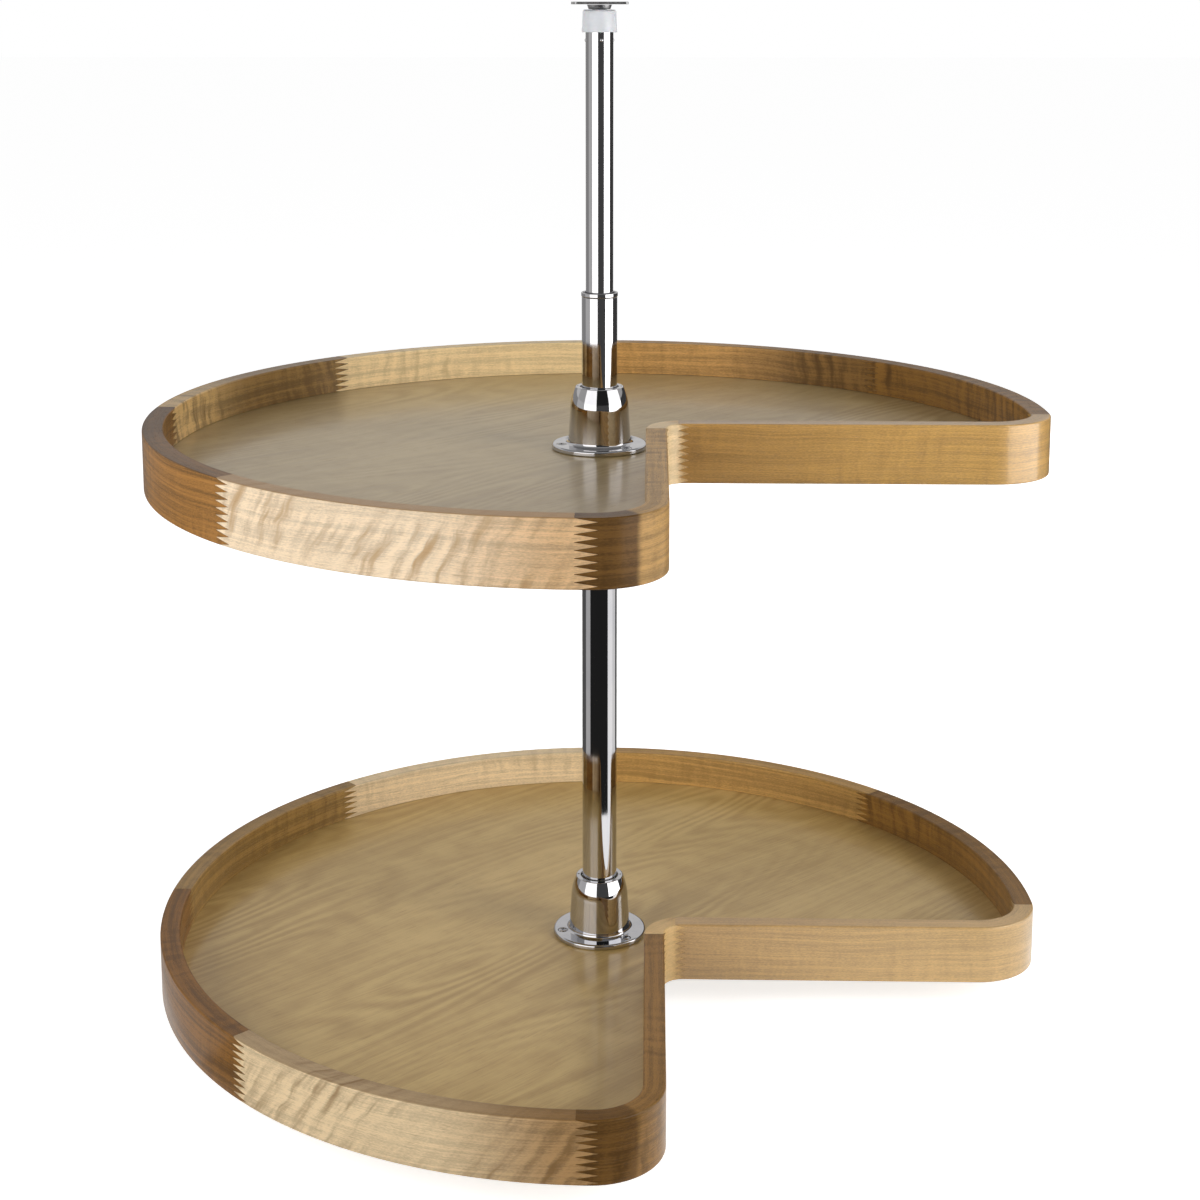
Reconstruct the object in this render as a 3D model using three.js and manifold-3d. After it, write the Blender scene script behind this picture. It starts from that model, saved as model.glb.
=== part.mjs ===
// Two-tier kidney-shaped wooden turntable set on a telescoping twist-lock pole,
// the revolving fitting of a corner base cabinet.
// Millimetres, +Z up the pole. The origin is the centre of the floor plate's underside.
// The notch of both trays opens towards +X and -Y, with its walls along X and Y.
import * as THREE from 'three';
import { mergeVertices } from 'three/addons/utils/BufferGeometryUtils.js';
import Module from 'manifold-3d';

const wasm = await Module();
wasm.setup();

// ---------------------------------------------------------------- driving dimensions

// Clearance between two pieces that seat on each other.
const seatGap = 0.3;

// Tray outline, seen from above.
const trayRadius = 355.6;
const notchOffset = 53;
const notchRadius = 15;
const cornerRadius = 50.8;

// Tray rim: solid wood segments standing on edge.
const rimHeight = 47;
const rimThickness = 16;
const rimEdgeBevel = 1.4;

// Tray floor: a plywood panel let into a groove of the rim.
const floorThickness = 9;
const floorDrop = 30;
const grooveDepth = 6;

// Finger joints between the rim segments.
const fingerCount = 9;
const fingerLength = 15;
const cornerFingerLength = 8;
const cornerJointInset = 2;
const fingerRootGap = 0.7;
const arcSegments = 6;

// Heights of the trays on the pole.
const lowerTrayLift = 26;
const trayPitch = 409;

// Pole tubes.
const outerTubeRadius = 14;
const outerTubeWall = 1.2;
const outerTubeTop = 573.2;
const innerTubeRadius = 10.75;
const innerTubeWall = 1.1;
const mouthToPlate = 225;
const tubeOverlap = 171;

// Lip on the mouth of the outer tube, and the black nylon guide inside it.
const mouthRingHeight = 3.5;
const mouthRingProud = 0.4;
const mouthEdge = 0.6;
const guideLength = 24;

// Floor plate with its welded pivot stud, and the nylon bush in the tube's foot.
const floorPlateSize = 76;
const floorPlateThickness = 3;
const floorPlateCorner = 7;
const floorPlateHoleInset = 11;
const studRadius = 7.5;
const studHeight = 21;
const footShoulderHeight = 3.5;
const footShoulderProud = 1.6;
const footInsertLength = 19;
const footWeb = 2;

// Top plate with its neck and spindle, and the nylon cap that turns on the spindle.
const topPlateSize = 42;
const topPlateThickness = 2;
const topPlateCorner = 2.5;
const topPlateHoleInset = 7.5;
const topPlateTurn = 5;
const plateScrewHoleRadius = 2.4;
const plateEdge = 0.5;
const neckHeight = 3.4;
const neckTopRadius = 9.6;
const neckFootRadius = 8.4;
const spindleRadius = 5.9;
const spindleLength = 14;
const clipThickness = 1.2;
const clipRadius = 8.3;
const clipGroove = 1.1;
const capHeight = 17.2;
const capRadius = 13.3;
const capFlare = 0.35;
const capWeb = 5;

// Four swaged bumps below the cap.
const bumpRadius = 1.5;
const bumpProud = 0.8;
const bumpDrop = 6;
const bumpTurn = 10;

// Twist lock at the foot of the inner tube: tapered core in a split sleeve.
const coreFlangeHeight = 3;
const corePlugLength = 18;
const coreTopRadius = 8.2;
const coreFootRadius = 5.5;
const coreHeadRadius = 9;
const coreHeadHeight = 3;
const sleeveLength = 26.4;
const sleeveSlit = 2.5;

// Chromed bell hub with its flange.
const flangeRadius = 38;
const flangeThickness = 4;
const flangeEdge = 1;
const hubFillet = 2.4;
const hubHeight = 49.5;
const hubFootRadius = 24.7;
const hubCreaseHeight = 34;
const hubCreaseRadius = 23;
const hubShoulderRadius = 20.6;
const hubShoulderHeight = 47.8;
const hubTopRadius = 19.7;
const hubWall = 1.6;
const hubLip = 2.5;
const hubBoreGap = 1.2;
const toolHoleRadius = 0.7;
const toolHoleDepth = 1.4;

// Nylon bearing in the hub.
const bearingFootRadius = 19.7;
const bearingBarrelRadius = 17;
const bearingHeadRadius = 18;
const bearingFootRise = 7;
const bearingHeadHeight = 7;
const bearingNeckWall = 0.6;
const bearingNeckRise = 1.6;

// Support collar with its set screw, and the washer the tray turns on.
const collarHeight = 14;
const collarRadius = 24;
const washerThickness = 2;
const washerRadius = 26;
const setScrewRadius = 3;
const setScrewLength = 8.6;
const setScrewSocket = 1.5;
const setScrewAngle = 135;

// Wood screws through the flange.
const screwCircleRadius = 31;
const screwCount = 3;
const screwFirstAngle = -45;
const screwShankRadius = 1.9;
const screwHeadRadius = 3.7;
const screwHeadHeight = 2;
const screwLength = 11;
const screwRecessWidth = 0.9;
const screwRecessSpan = 3.8;
const screwRecessDepth = 1.1;
const screwRecessTurn = 35;

// Facets on round pieces.
const arcStepDegrees = 7.5;
const cornerSteps = 6;
const tubeFacets = 24;
const hubFacets = 24;
const smallFacets = 12;
const pinFacets = 20;

// ---------------------------------------------------------------- derived dimensions

const outerTubeBore = outerTubeRadius - outerTubeWall;
const innerTubeBore = innerTubeRadius - innerTubeWall;
const footShoulderBottom = floorPlateThickness + seatGap;
const outerTubeBottom = footShoulderBottom + footShoulderHeight + seatGap;
const mouthTop = outerTubeTop + seatGap + mouthRingHeight;
const topPlateTop = mouthTop + mouthToPlate;
const neckTop = topPlateTop - topPlateThickness - seatGap;
const capTop = neckTop - neckHeight - seatGap;
const capBottom = capTop - capHeight;
const innerTubeTop = capTop - capWeb - seatGap;
const innerTubeBottom = mouthTop - tubeOverlap - seatGap;
const coreTop = innerTubeBottom - seatGap;
const sleeveTop = coreTop - coreFlangeHeight - seatGap;
const sleeveBottom = sleeveTop - sleeveLength;
const poleClearRadius = outerTubeRadius + seatGap;
const lowerFloorTop = lowerTrayLift + rimHeight - floorDrop;
const upperFloorTop = lowerFloorTop + trayPitch;
const rimInnerRadius = trayRadius - rimThickness;
const wallJointPlace = notchOffset + notchRadius - cornerJointInset;
const segmentAngle = 270 / arcSegments;

// ---------------------------------------------------------------- finishes

const chrome = { color: 0xc9cacb, roughness: 0.08, metalness: 1 };
const zincSteel = { color: 0xa9abad, roughness: 0.38, metalness: 0.9 };
const whiteNylon = { color: 0xe4e6ea, roughness: 0.42, metalness: 0 };
const naturalNylon = { color: 0xdcd8cc, roughness: 0.5, metalness: 0 };
const blackNylon = { color: 0x2a2b2d, roughness: 0.5, metalness: 0 };
const blackSteel = { color: 0x34353a, roughness: 0.45, metalness: 0.8 };
const plywood = { color: 0xa8906a, roughness: 0.42, metalness: 0 };
const paleWood = { color: 0xd8bf96, roughness: 0.4, metalness: 0 };
const goldenWood = { color: 0xb58d52, roughness: 0.4, metalness: 0 };
const brownWood = { color: 0x8d6a3f, roughness: 0.4, metalness: 0 };
const creamWood = { color: 0xdfc9a6, roughness: 0.4, metalness: 0 };

// ---------------------------------------------------------------- solids

const degrees = (angle) => THREE.MathUtils.degToRad(angle);

/** Signed volume of an indexed triangle list: negative when the faces point inwards. */
function signedVolume(position, index) {
  const [a, b, c] = [new THREE.Vector3(), new THREE.Vector3(), new THREE.Vector3()];
  let volume = 0;
  for (let i = 0; i < index.length; i += 3) {
    a.fromBufferAttribute(position, index[i]);
    b.fromBufferAttribute(position, index[i + 1]);
    c.fromBufferAttribute(position, index[i + 2]);
    volume += a.dot(b.cross(c)) / 6;
  }
  return volume;
}

/** Closed solid from a three.js geometry, with shared vertices merged and faces outwards. */
function solidOf(geometry) {
  const bare = geometry.clone();
  bare.deleteAttribute('normal');
  bare.deleteAttribute('uv');
  const merged = mergeVertices(bare, 1e-4);
  const index = [];
  for (let i = 0; i < merged.index.count; i += 3) {
    const [a, b, c] = [merged.index.getX(i), merged.index.getX(i + 1), merged.index.getX(i + 2)];
    if (a !== b && b !== c && c !== a) index.push(a, b, c);
  }
  if (signedVolume(merged.attributes.position, index) < 0) index.reverse();
  const mesh = new wasm.Mesh({
    numProp: 3,
    vertProperties: new Float32Array(merged.attributes.position.array),
    triVerts: new Uint32Array(index),
  });
  return new wasm.Manifold(mesh);
}

/** Solid of revolution about Z from [radius, height] pairs. */
function turned(profile, facets) {
  const points = profile.map(([radius, height]) => new THREE.Vector2(radius, height));
  const geometry = new THREE.LatheGeometry(points, facets);
  geometry.rotateX(Math.PI / 2);
  return solidOf(geometry);
}

/** Ring of revolution: the profile is closed back to its first point. */
function turnedRing(profile, facets) {
  return turned([...profile, profile[0]], facets);
}

/** Plain ring between two radii and two heights. */
function ring(innerRadius, outerRadius, bottom, top, facets = tubeFacets) {
  return turnedRing(
    [[innerRadius, bottom], [outerRadius, bottom], [outerRadius, top], [innerRadius, top]],
    facets,
  );
}

/** Upright solid cylinder, used for studs and holes. */
function post(radius, bottom, top, facets = smallFacets) {
  return turned([[0, bottom], [radius, bottom], [radius, top], [0, top]], facets);
}

/** Prism of a plan outline between two heights, with an optional bevel on every edge. */
function prism(shape, bottom, top, bevel = 0) {
  const geometry = new THREE.ExtrudeGeometry(shape, {
    depth: top - bottom - 2 * bevel,
    steps: 1,
    bevelEnabled: bevel > 0,
    bevelThickness: bevel,
    bevelSize: bevel,
    bevelOffset: -bevel,
    bevelSegments: 1,
    curveSegments: 6,
  });
  geometry.translate(0, 0, bottom + bevel);
  return solidOf(geometry);
}

/** Box between two corners. */
function block(low, high) {
  const size = high.map((value, axis) => value - low[axis]);
  const geometry = new THREE.BoxGeometry(...size);
  geometry.translate(...high.map((value, axis) => (value + low[axis]) / 2));
  return solidOf(geometry);
}

/** Copy of a solid turned about Z and then moved. */
function placed(solid, angle, offset = [0, 0, 0]) {
  return solid.rotate([0, 0, angle]).translate(offset);
}

/** Named mesh of one solid with its own material. */
function piece(name, solid, finish) {
  const mesh = solid.getMesh();
  const geometry = new THREE.BufferGeometry();
  geometry.setAttribute('position', new THREE.BufferAttribute(mesh.vertProperties, 3));
  geometry.setIndex(new THREE.BufferAttribute(mesh.triVerts, 1));
  geometry.computeVertexNormals();
  const node = new THREE.Mesh(geometry, new THREE.MeshStandardMaterial(finish));
  node.name = name;
  return node;
}

// ---------------------------------------------------------------- tray outline

/** Points of an arc, both ends included. */
function arcPoints(x, y, radius, startAngle, endAngle, steps) {
  const points = [];
  for (let i = 0; i <= steps; i += 1) {
    const angle = degrees(startAngle + ((endAngle - startAngle) * i) / steps);
    points.push(new THREE.Vector2(x + radius * Math.cos(angle), y + radius * Math.sin(angle)));
  }
  return points;
}

/**
 * Kidney outline set in from the tray's outer face. Its big arc, its two rounded corners,
 * its two straight notch walls and the rounded notch corner stay tangent at any inset.
 * The facets of the big arc touch the true circle from outside at their middles.
 */
function kidneyPoints(inset) {
  const cornerDrop = notchOffset - cornerRadius;
  const cornerReach = Math.sqrt((trayRadius - cornerRadius) ** 2 - cornerDrop ** 2);
  const tangentAngle = -THREE.MathUtils.radToDeg(Math.atan2(cornerDrop, cornerReach));
  const firstFacet = arcStepDegrees / 2;
  const lastFacet = 270 - firstFacet;
  const bigSteps = Math.round((lastFacet - firstFacet) / arcStepDegrees);
  const facetRadius = (trayRadius - inset) / Math.cos(degrees(firstFacet));
  const cornerInset = cornerRadius - inset;
  const notchCentre = notchOffset + notchRadius;
  return [
    ...arcPoints(0, 0, facetRadius, firstFacet, lastFacet, bigSteps),
    ...arcPoints(cornerDrop, -cornerReach, cornerInset, 270 - tangentAngle, 360, cornerSteps),
    ...arcPoints(notchCentre, -notchCentre, notchRadius + inset, 180, 90, cornerSteps),
    ...arcPoints(cornerReach, -cornerDrop, cornerInset, -90, tangentAngle, cornerSteps),
  ];
}

/** Kidney outline as a shape. */
const kidneyShape = (inset) => new THREE.Shape(kidneyPoints(inset));

/** Whole rim before it is parted: bevelled edges and the groove for the floor. */
function rimRing() {
  const outline = kidneyShape(0);
  outline.holes.push(new THREE.Path(kidneyPoints(rimThickness)));
  const body = prism(outline, floorDrop - rimHeight, floorDrop, rimEdgeBevel);
  const groove = prism(kidneyShape(rimThickness - grooveDepth), -floorThickness - seatGap, seatGap);
  return body.subtract(groove);
}

// ---------------------------------------------------------------- finger joints

/**
 * Side outline of the wood that a finger joint takes away from one of its two segments:
 * along the rim in x, up the rim in y. A segment that ends here keeps fingers that point
 * to +x; the one that starts here keeps the fingers between them, pointing to -x. One
 * more finger on either side takes the outline past the rim's top and bottom edges.
 */
function fingerCutShape(length, segmentEndsHere) {
  const pitch = rimHeight / fingerCount;
  const side = segmentEndsHere ? 1 : -1;
  const tip = (length - seatGap) / 2;
  const root = -(length + seatGap) / 2;
  const rootHalf = fingerRootGap / 2;
  const phase = segmentEndsHere ? 0 : pitch / 2;
  const points = [];
  for (let finger = -1; finger <= fingerCount; finger += 1) {
    const low = finger * pitch + phase;
    const middle = low + pitch / 2;
    points.push(new THREE.Vector2(root * side, low + rootHalf));
    points.push(new THREE.Vector2(tip * side, middle));
    points.push(new THREE.Vector2(root * side, low + pitch - rootHalf));
  }
  const reach = (length / 2 + rimThickness / 2) * side;
  points.push(new THREE.Vector2(reach, points[points.length - 1].y));
  points.push(new THREE.Vector2(reach, points[0].y));
  return new THREE.Shape(points);
}

/** Solid of that outline, laid through the rim at a joint. */
function fingerCut(joint, segmentEndsHere) {
  const depth = rimThickness * 1.6;
  const geometry = new THREE.ExtrudeGeometry(fingerCutShape(joint.length, segmentEndsHere), {
    depth,
    bevelEnabled: false,
  });
  geometry.translate(0, floorDrop - rimHeight, -depth / 2);
  const along = new THREE.Vector3(Math.cos(joint.heading), Math.sin(joint.heading), 0);
  const up = new THREE.Vector3(0, 0, 1);
  const across = new THREE.Vector3().crossVectors(along, up);
  const frame = new THREE.Matrix4().makeBasis(along, up, across);
  frame.setPosition(joint.x, joint.y, 0);
  geometry.applyMatrix4(frame);
  return solidOf(geometry);
}

/** Joint across the big arc at an angle about the pole. */
function arcJoint(angle) {
  const middle = trayRadius - rimThickness / 2;
  const turn = degrees(angle);
  return {
    x: middle * Math.cos(turn),
    y: middle * Math.sin(turn),
    heading: turn + Math.PI / 2,
    length: fingerLength,
  };
}

/** Joint in the notch's front wall, next to the notch corner. */
const frontWallJoint = {
  x: notchOffset - rimThickness / 2,
  y: -wallJointPlace,
  heading: Math.PI / 2,
  length: cornerFingerLength,
};

/** Joint in the notch's right wall, next to the notch corner. */
const rightWallJoint = {
  x: wallJointPlace,
  y: -notchOffset + rimThickness / 2,
  heading: 0,
  length: cornerFingerLength,
};

/** Plan outline that holds one arc segment with the fingers at both its ends. */
function sectorShape(startAngle, endAngle) {
  const overlap = THREE.MathUtils.radToDeg((fingerLength / 2 + 1) / rimInnerRadius);
  const reach = trayRadius * 1.2;
  const rays = [startAngle - overlap, (startAngle + endAngle) / 2, endAngle + overlap];
  const corners = rays.map((angle) => [reach * Math.cos(degrees(angle)), reach * Math.sin(degrees(angle))]);
  return new THREE.Shape([[0, 0], ...corners].map(([x, y]) => new THREE.Vector2(x, y)));
}

/** Plan outline that holds the right wall and the right corner with their fingers. */
function rightWallShape() {
  const start = wallJointPlace - cornerFingerLength / 2 - 1;
  const reach = trayRadius * 1.1;
  const rise = (fingerLength / 2 + 1) / rimInnerRadius;
  const below = -notchOffset - rimThickness;
  const corners = [[start, below], [reach, below], [reach, reach * rise], [start, start * rise]];
  return new THREE.Shape(corners.map(([x, y]) => new THREE.Vector2(x, y)));
}

/** The same for the front wall, mirrored across the notch's diagonal. */
function frontWallShape() {
  const mirrored = rightWallShape().getPoints().map(({ x, y }) => new THREE.Vector2(-y, -x));
  return new THREE.Shape(mirrored.reverse());
}

/** Plan outline that holds the notch corner with its fingers. */
function notchCornerShape() {
  const reach = wallJointPlace + cornerFingerLength / 2 + 1;
  const corners = [[0, 0], [0, -reach], [reach, -reach], [reach, 0]];
  return new THREE.Shape(corners.map(([x, y]) => new THREE.Vector2(x, y)));
}

/** One rim segment: the part of the rim within an outline, with fingers cut at both ends. */
function rimSegment(rim, outline, startJoint, endJoint) {
  const span = prism(outline, floorDrop - rimHeight - 1, floorDrop + 1);
  return rim
    .intersect(span)
    .subtract(fingerCut(startJoint, false))
    .subtract(fingerCut(endJoint, true));
}

// ---------------------------------------------------------------- tray pieces

/** Height of the hub's skirt wall at a distance up the hub: its outer radius there. */
function hubRadiusAt(height) {
  const skirt = [[flangeThickness, hubFootRadius], [hubCreaseHeight, hubCreaseRadius],
    [hubShoulderHeight, hubShoulderRadius]];
  const upper = height > hubCreaseHeight ? 1 : 0;
  const [[lowZ, lowR], [highZ, highR]] = [skirt[upper], skirt[upper + 1]];
  return lowR + ((highR - lowR) * (height - lowZ)) / (highZ - lowZ);
}

/** Places of the flange screws about the pole. */
const screwPlaces = Array.from({ length: screwCount }, (_, i) => {
  const angle = degrees(screwFirstAngle + (360 * i) / screwCount);
  return [screwCircleRadius * Math.cos(angle), screwCircleRadius * Math.sin(angle), 0];
});

/** Countersunk wood screw with its head flush with the flange, grown by a margin. */
function woodScrew(margin) {
  const head = flangeThickness;
  const shank = screwShankRadius + margin;
  return turned(
    [
      [0, head + margin],
      [screwHeadRadius + margin, head + margin],
      [screwHeadRadius + margin, head],
      [shank, head - screwHeadHeight],
      [shank, head - screwLength + 3],
      [0, head - screwLength],
    ],
    smallFacets,
  );
}

/** One of the flange screws, with a cross recess turned to its own angle. */
function flangeScrew(number) {
  const top = flangeThickness + 1;
  const depth = flangeThickness - screwRecessDepth;
  const [half, span] = [screwRecessWidth / 2, screwRecessSpan / 2];
  const cross = block([-half, -span, depth], [half, span, top])
    .add(block([-span, -half, depth], [span, half, top]));
  return placed(woodScrew(0).subtract(cross), screwRecessTurn * number, screwPlaces[number]);
}

/** Bell-shaped hub shell with its flange, top lip, screw holes and two tool holes. */
function hubShell() {
  const boreRadius = outerTubeRadius + hubBoreGap;
  const lipUnder = hubHeight - hubLip;
  const footBore = bearingFootRadius + seatGap;
  const creaseBore = hubCreaseRadius - hubWall;
  const shoulderBore = hubRadiusAt(lipUnder) - hubWall;
  const footTop = bearingFootRise + seatGap;
  const shell = turnedRing(
    [
      [footBore, 0],
      [flangeRadius, 0],
      [flangeRadius, flangeThickness - flangeEdge],
      [flangeRadius - flangeEdge, flangeThickness],
      [hubFootRadius + hubFillet, flangeThickness],
      [hubFootRadius + hubFillet / 4, flangeThickness + hubFillet / 3],
      [hubFootRadius, flangeThickness + hubFillet],
      [hubCreaseRadius, hubCreaseHeight],
      [hubShoulderRadius, hubShoulderHeight],
      [hubTopRadius, hubHeight],
      [boreRadius, hubHeight],
      [boreRadius, lipUnder],
      [shoulderBore, lipUnder],
      [creaseBore, hubCreaseHeight],
      [creaseBore, footTop],
      [footBore, footTop],
    ],
    hubFacets,
  );
  const toolHole = post(toolHoleRadius, hubHeight - toolHoleDepth, hubHeight + 1, 8);
  const toolPlace = (boreRadius + hubTopRadius) / 2;
  const holes = screwPlaces.map((place) => woodScrew(seatGap).translate(place));
  return [...holes, toolHole.translate([toolPlace, 0, 0]), toolHole.translate([-toolPlace, 0, 0])]
    .reduce((solid, hole) => solid.subtract(hole), shell);
}

/** Nylon bearing: foot in the floor's hole, barrel, head under the hub's lip and neck in its bore. */
function hubBearing() {
  const headTop = hubHeight - hubLip - seatGap;
  const headBottom = headTop - bearingHeadHeight;
  const neckRadius = poleClearRadius + bearingNeckWall;
  return turnedRing(
    [
      [poleClearRadius, -floorThickness],
      [bearingFootRadius, -floorThickness],
      [bearingFootRadius, bearingFootRise],
      [bearingBarrelRadius, bearingFootRise],
      [bearingBarrelRadius, headBottom],
      [bearingHeadRadius, headBottom],
      [bearingHeadRadius, headTop],
      [neckRadius, headTop],
      [neckRadius, headTop + seatGap + bearingNeckRise],
      [poleClearRadius, headTop + seatGap + bearingNeckRise],
    ],
    tubeFacets,
  );
}

/** Plywood floor: kidney panel with the hub's centre hole and the screws' pilot holes. */
function trayFloor() {
  const panel = prism(kidneyShape(rimThickness - grooveDepth + seatGap), -floorThickness, 0);
  const centre = post(bearingFootRadius + seatGap, -floorThickness - 1, 1, tubeFacets);
  const pilot = post(screwShankRadius + seatGap, -floorThickness - 1, 1, 8);
  return screwPlaces.reduce((solid, place) => solid.subtract(pilot.translate(place)), panel.subtract(centre));
}

/** Steel support collar below the floor, with a threaded hole for its set screw. */
function supportCollar(top) {
  const middle = top - collarHeight / 2;
  const hole = setScrewCylinder(setScrewRadius + seatGap, 0, collarRadius + 1, smallFacets);
  return ring(poleClearRadius, collarRadius, top - collarHeight, top)
    .subtract(placed(hole, setScrewAngle, [0, 0, middle]));
}

/** Cylinder lying along +X between two distances from the pole's axis. */
function setScrewCylinder(radius, start, end, facets) {
  const geometry = new THREE.CylinderGeometry(radius, radius, end - start, facets);
  geometry.rotateZ(Math.PI / 2);
  geometry.translate((start + end) / 2, 0, 0);
  return solidOf(geometry);
}

/** Headless set screw with a hexagon socket, its point on the pole. */
function setScrew(top) {
  const start = outerTubeRadius + seatGap;
  const end = start + setScrewLength;
  const socket = setScrewCylinder(setScrewSocket, end - 3, end + 1, 6);
  const screw = setScrewCylinder(setScrewRadius, start, end, smallFacets).subtract(socket);
  return placed(screw, setScrewAngle, [0, 0, top - collarHeight / 2]);
}

/** Woods of the arc segments, counted round the rim from +X. */
const arcWoods = [brownWood, goldenWood, paleWood, brownWood, brownWood, paleWood];

/** Everything of one tier. Heights inside the group count from the top of the tray's floor. */
function tray(prefix, floorTop) {
  const tier = new THREE.Group();
  tier.position.z = floorTop;
  const rim = rimRing();
  for (let i = 0; i < arcSegments; i += 1) {
    const [start, end] = [i * segmentAngle, (i + 1) * segmentAngle];
    const outline = sectorShape(start, end);
    const segment = rimSegment(rim, outline, arcJoint(start), arcJoint(end));
    tier.add(piece(`${prefix}_rim_arc_${i + 1}`, segment, arcWoods[i]));
  }
  const frontWall = rimSegment(rim, frontWallShape(), arcJoint(arcSegments * segmentAngle), frontWallJoint);
  const notchCorner = rimSegment(rim, notchCornerShape(), frontWallJoint, rightWallJoint);
  const rightWall = rimSegment(rim, rightWallShape(), rightWallJoint, arcJoint(0));
  tier.add(piece(`${prefix}_rim_front_wall`, frontWall, brownWood));
  tier.add(piece(`${prefix}_rim_notch_corner`, notchCorner, creamWood));
  tier.add(piece(`${prefix}_rim_right_wall`, rightWall, goldenWood));
  tier.add(piece(`${prefix}_floor`, trayFloor(), plywood));
  const hubSeat = new THREE.Group();
  hubSeat.position.z = seatGap;
  hubSeat.add(piece(`${prefix}_hub`, hubShell(), chrome));
  for (let i = 0; i < screwCount; i += 1) {
    hubSeat.add(piece(`${prefix}_flange_screw_${i + 1}`, flangeScrew(i), chrome));
  }
  tier.add(hubSeat);
  tier.add(piece(`${prefix}_bearing`, hubBearing(), naturalNylon));
  const washerTop = -floorThickness - seatGap;
  const washer = ring(poleClearRadius, washerRadius, washerTop - washerThickness, washerTop);
  const collarTop = washerTop - washerThickness - seatGap;
  tier.add(piece(`${prefix}_thrust_washer`, washer, whiteNylon));
  tier.add(piece(`${prefix}_collar`, supportCollar(collarTop), zincSteel));
  tier.add(piece(`${prefix}_set_screw`, setScrew(collarTop), blackSteel));
  return tier;
}

// ---------------------------------------------------------------- pole pieces

/** Square plate outline with rounded corners and a screw hole in each corner. */
function plateShape(size, corner, holeInset) {
  const half = size / 2;
  const centre = half - corner;
  const points = [0, 90, 180, 270].flatMap((start) => {
    const middle = degrees(start + 45);
    const x = Math.sign(Math.cos(middle)) * centre;
    const y = Math.sign(Math.sin(middle)) * centre;
    return arcPoints(x, y, corner, start, start + 90, 4);
  });
  const shape = new THREE.Shape(points);
  const hole = half - holeInset;
  for (const [x, y] of [[hole, hole], [-hole, hole], [-hole, -hole], [hole, -hole]]) {
    shape.holes.push(new THREE.Path(arcPoints(x, y, plateScrewHoleRadius, 0, 315, 7)));
  }
  return shape;
}

/** Floor plate with its welded pivot stud, chamfered at the top. */
function floorPlate() {
  const outline = plateShape(floorPlateSize, floorPlateCorner, floorPlateHoleInset);
  const plate = prism(outline, 0, floorPlateThickness, plateEdge);
  const stud = turned(
    [
      [0, floorPlateThickness / 2],
      [studRadius, floorPlateThickness / 2],
      [studRadius, floorPlateThickness + studHeight - 1],
      [studRadius - 1, floorPlateThickness + studHeight],
      [0, floorPlateThickness + studHeight],
    ],
    pinFacets,
  );
  return plate.add(stud);
}

/** Nylon bush in the foot of the outer tube, turning on the stud. */
function footBush() {
  const bore = studRadius + seatGap;
  const boreTop = floorPlateThickness + studHeight + seatGap;
  const insertRadius = outerTubeBore - seatGap;
  const shoulderTop = outerTubeBottom - seatGap;
  const insertTop = Math.max(outerTubeBottom + footInsertLength, boreTop + footWeb);
  return turned(
    [
      [0, boreTop],
      [bore, boreTop],
      [bore, footShoulderBottom],
      [outerTubeRadius + footShoulderProud, footShoulderBottom],
      [outerTubeRadius + footShoulderProud, shoulderTop],
      [insertRadius, shoulderTop],
      [insertRadius, insertTop],
      [0, insertTop],
    ],
    tubeFacets,
  );
}

/** Chromed lip round the mouth of the outer tube, with an eased top edge. */
function mouthRing() {
  const bottom = outerTubeTop + seatGap;
  const radius = outerTubeRadius + mouthRingProud;
  return turnedRing(
    [
      [outerTubeBore, bottom],
      [radius, bottom],
      [radius, mouthTop - mouthEdge],
      [radius - mouthEdge, mouthTop],
      [outerTubeBore, mouthTop],
    ],
    tubeFacets,
  );
}

/** Inner tube with its four swaged bumps just below the cap. */
function innerTube() {
  const bumpHeight = capBottom - bumpDrop;
  const distance = innerTubeRadius + bumpProud - bumpRadius;
  const bump = solidOf(new THREE.SphereGeometry(bumpRadius, 8, 6));
  const tube = post(innerTubeRadius, innerTubeBottom, innerTubeTop, tubeFacets);
  const bore = post(innerTubeBore, innerTubeBottom - 1, innerTubeTop + 1, tubeFacets);
  return [0, 90, 180, 270]
    .map((angle) => degrees(angle + bumpTurn))
    .map((angle) => [distance * Math.cos(angle), distance * Math.sin(angle), bumpHeight])
    .reduce((solid, place) => solid.add(bump.translate(place)), tube)
    .subtract(bore);
}

/** Radius of the lock core's taper, which narrows downwards through the sleeve. */
function coreTaper(height) {
  const share = (height - sleeveBottom) / (sleeveTop + seatGap - sleeveBottom);
  return coreFootRadius + (coreTopRadius - coreFootRadius) * share;
}

/** Lock core: plug in the inner tube, flange, tapered stem and retaining head. */
function lockCore() {
  const plugRadius = innerTubeBore - seatGap;
  const flangeBottom = coreTop - coreFlangeHeight;
  const headTop = sleeveBottom - seatGap;
  return turned(
    [
      [0, coreTop + corePlugLength],
      [plugRadius, coreTop + corePlugLength],
      [plugRadius, coreTop],
      [innerTubeRadius, coreTop],
      [innerTubeRadius, flangeBottom],
      [coreTaper(flangeBottom), flangeBottom],
      [coreTaper(headTop), headTop],
      [coreHeadRadius, headTop],
      [coreHeadRadius, headTop - coreHeadHeight],
      [0, headTop - coreHeadHeight],
    ],
    pinFacets,
  );
}

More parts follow.
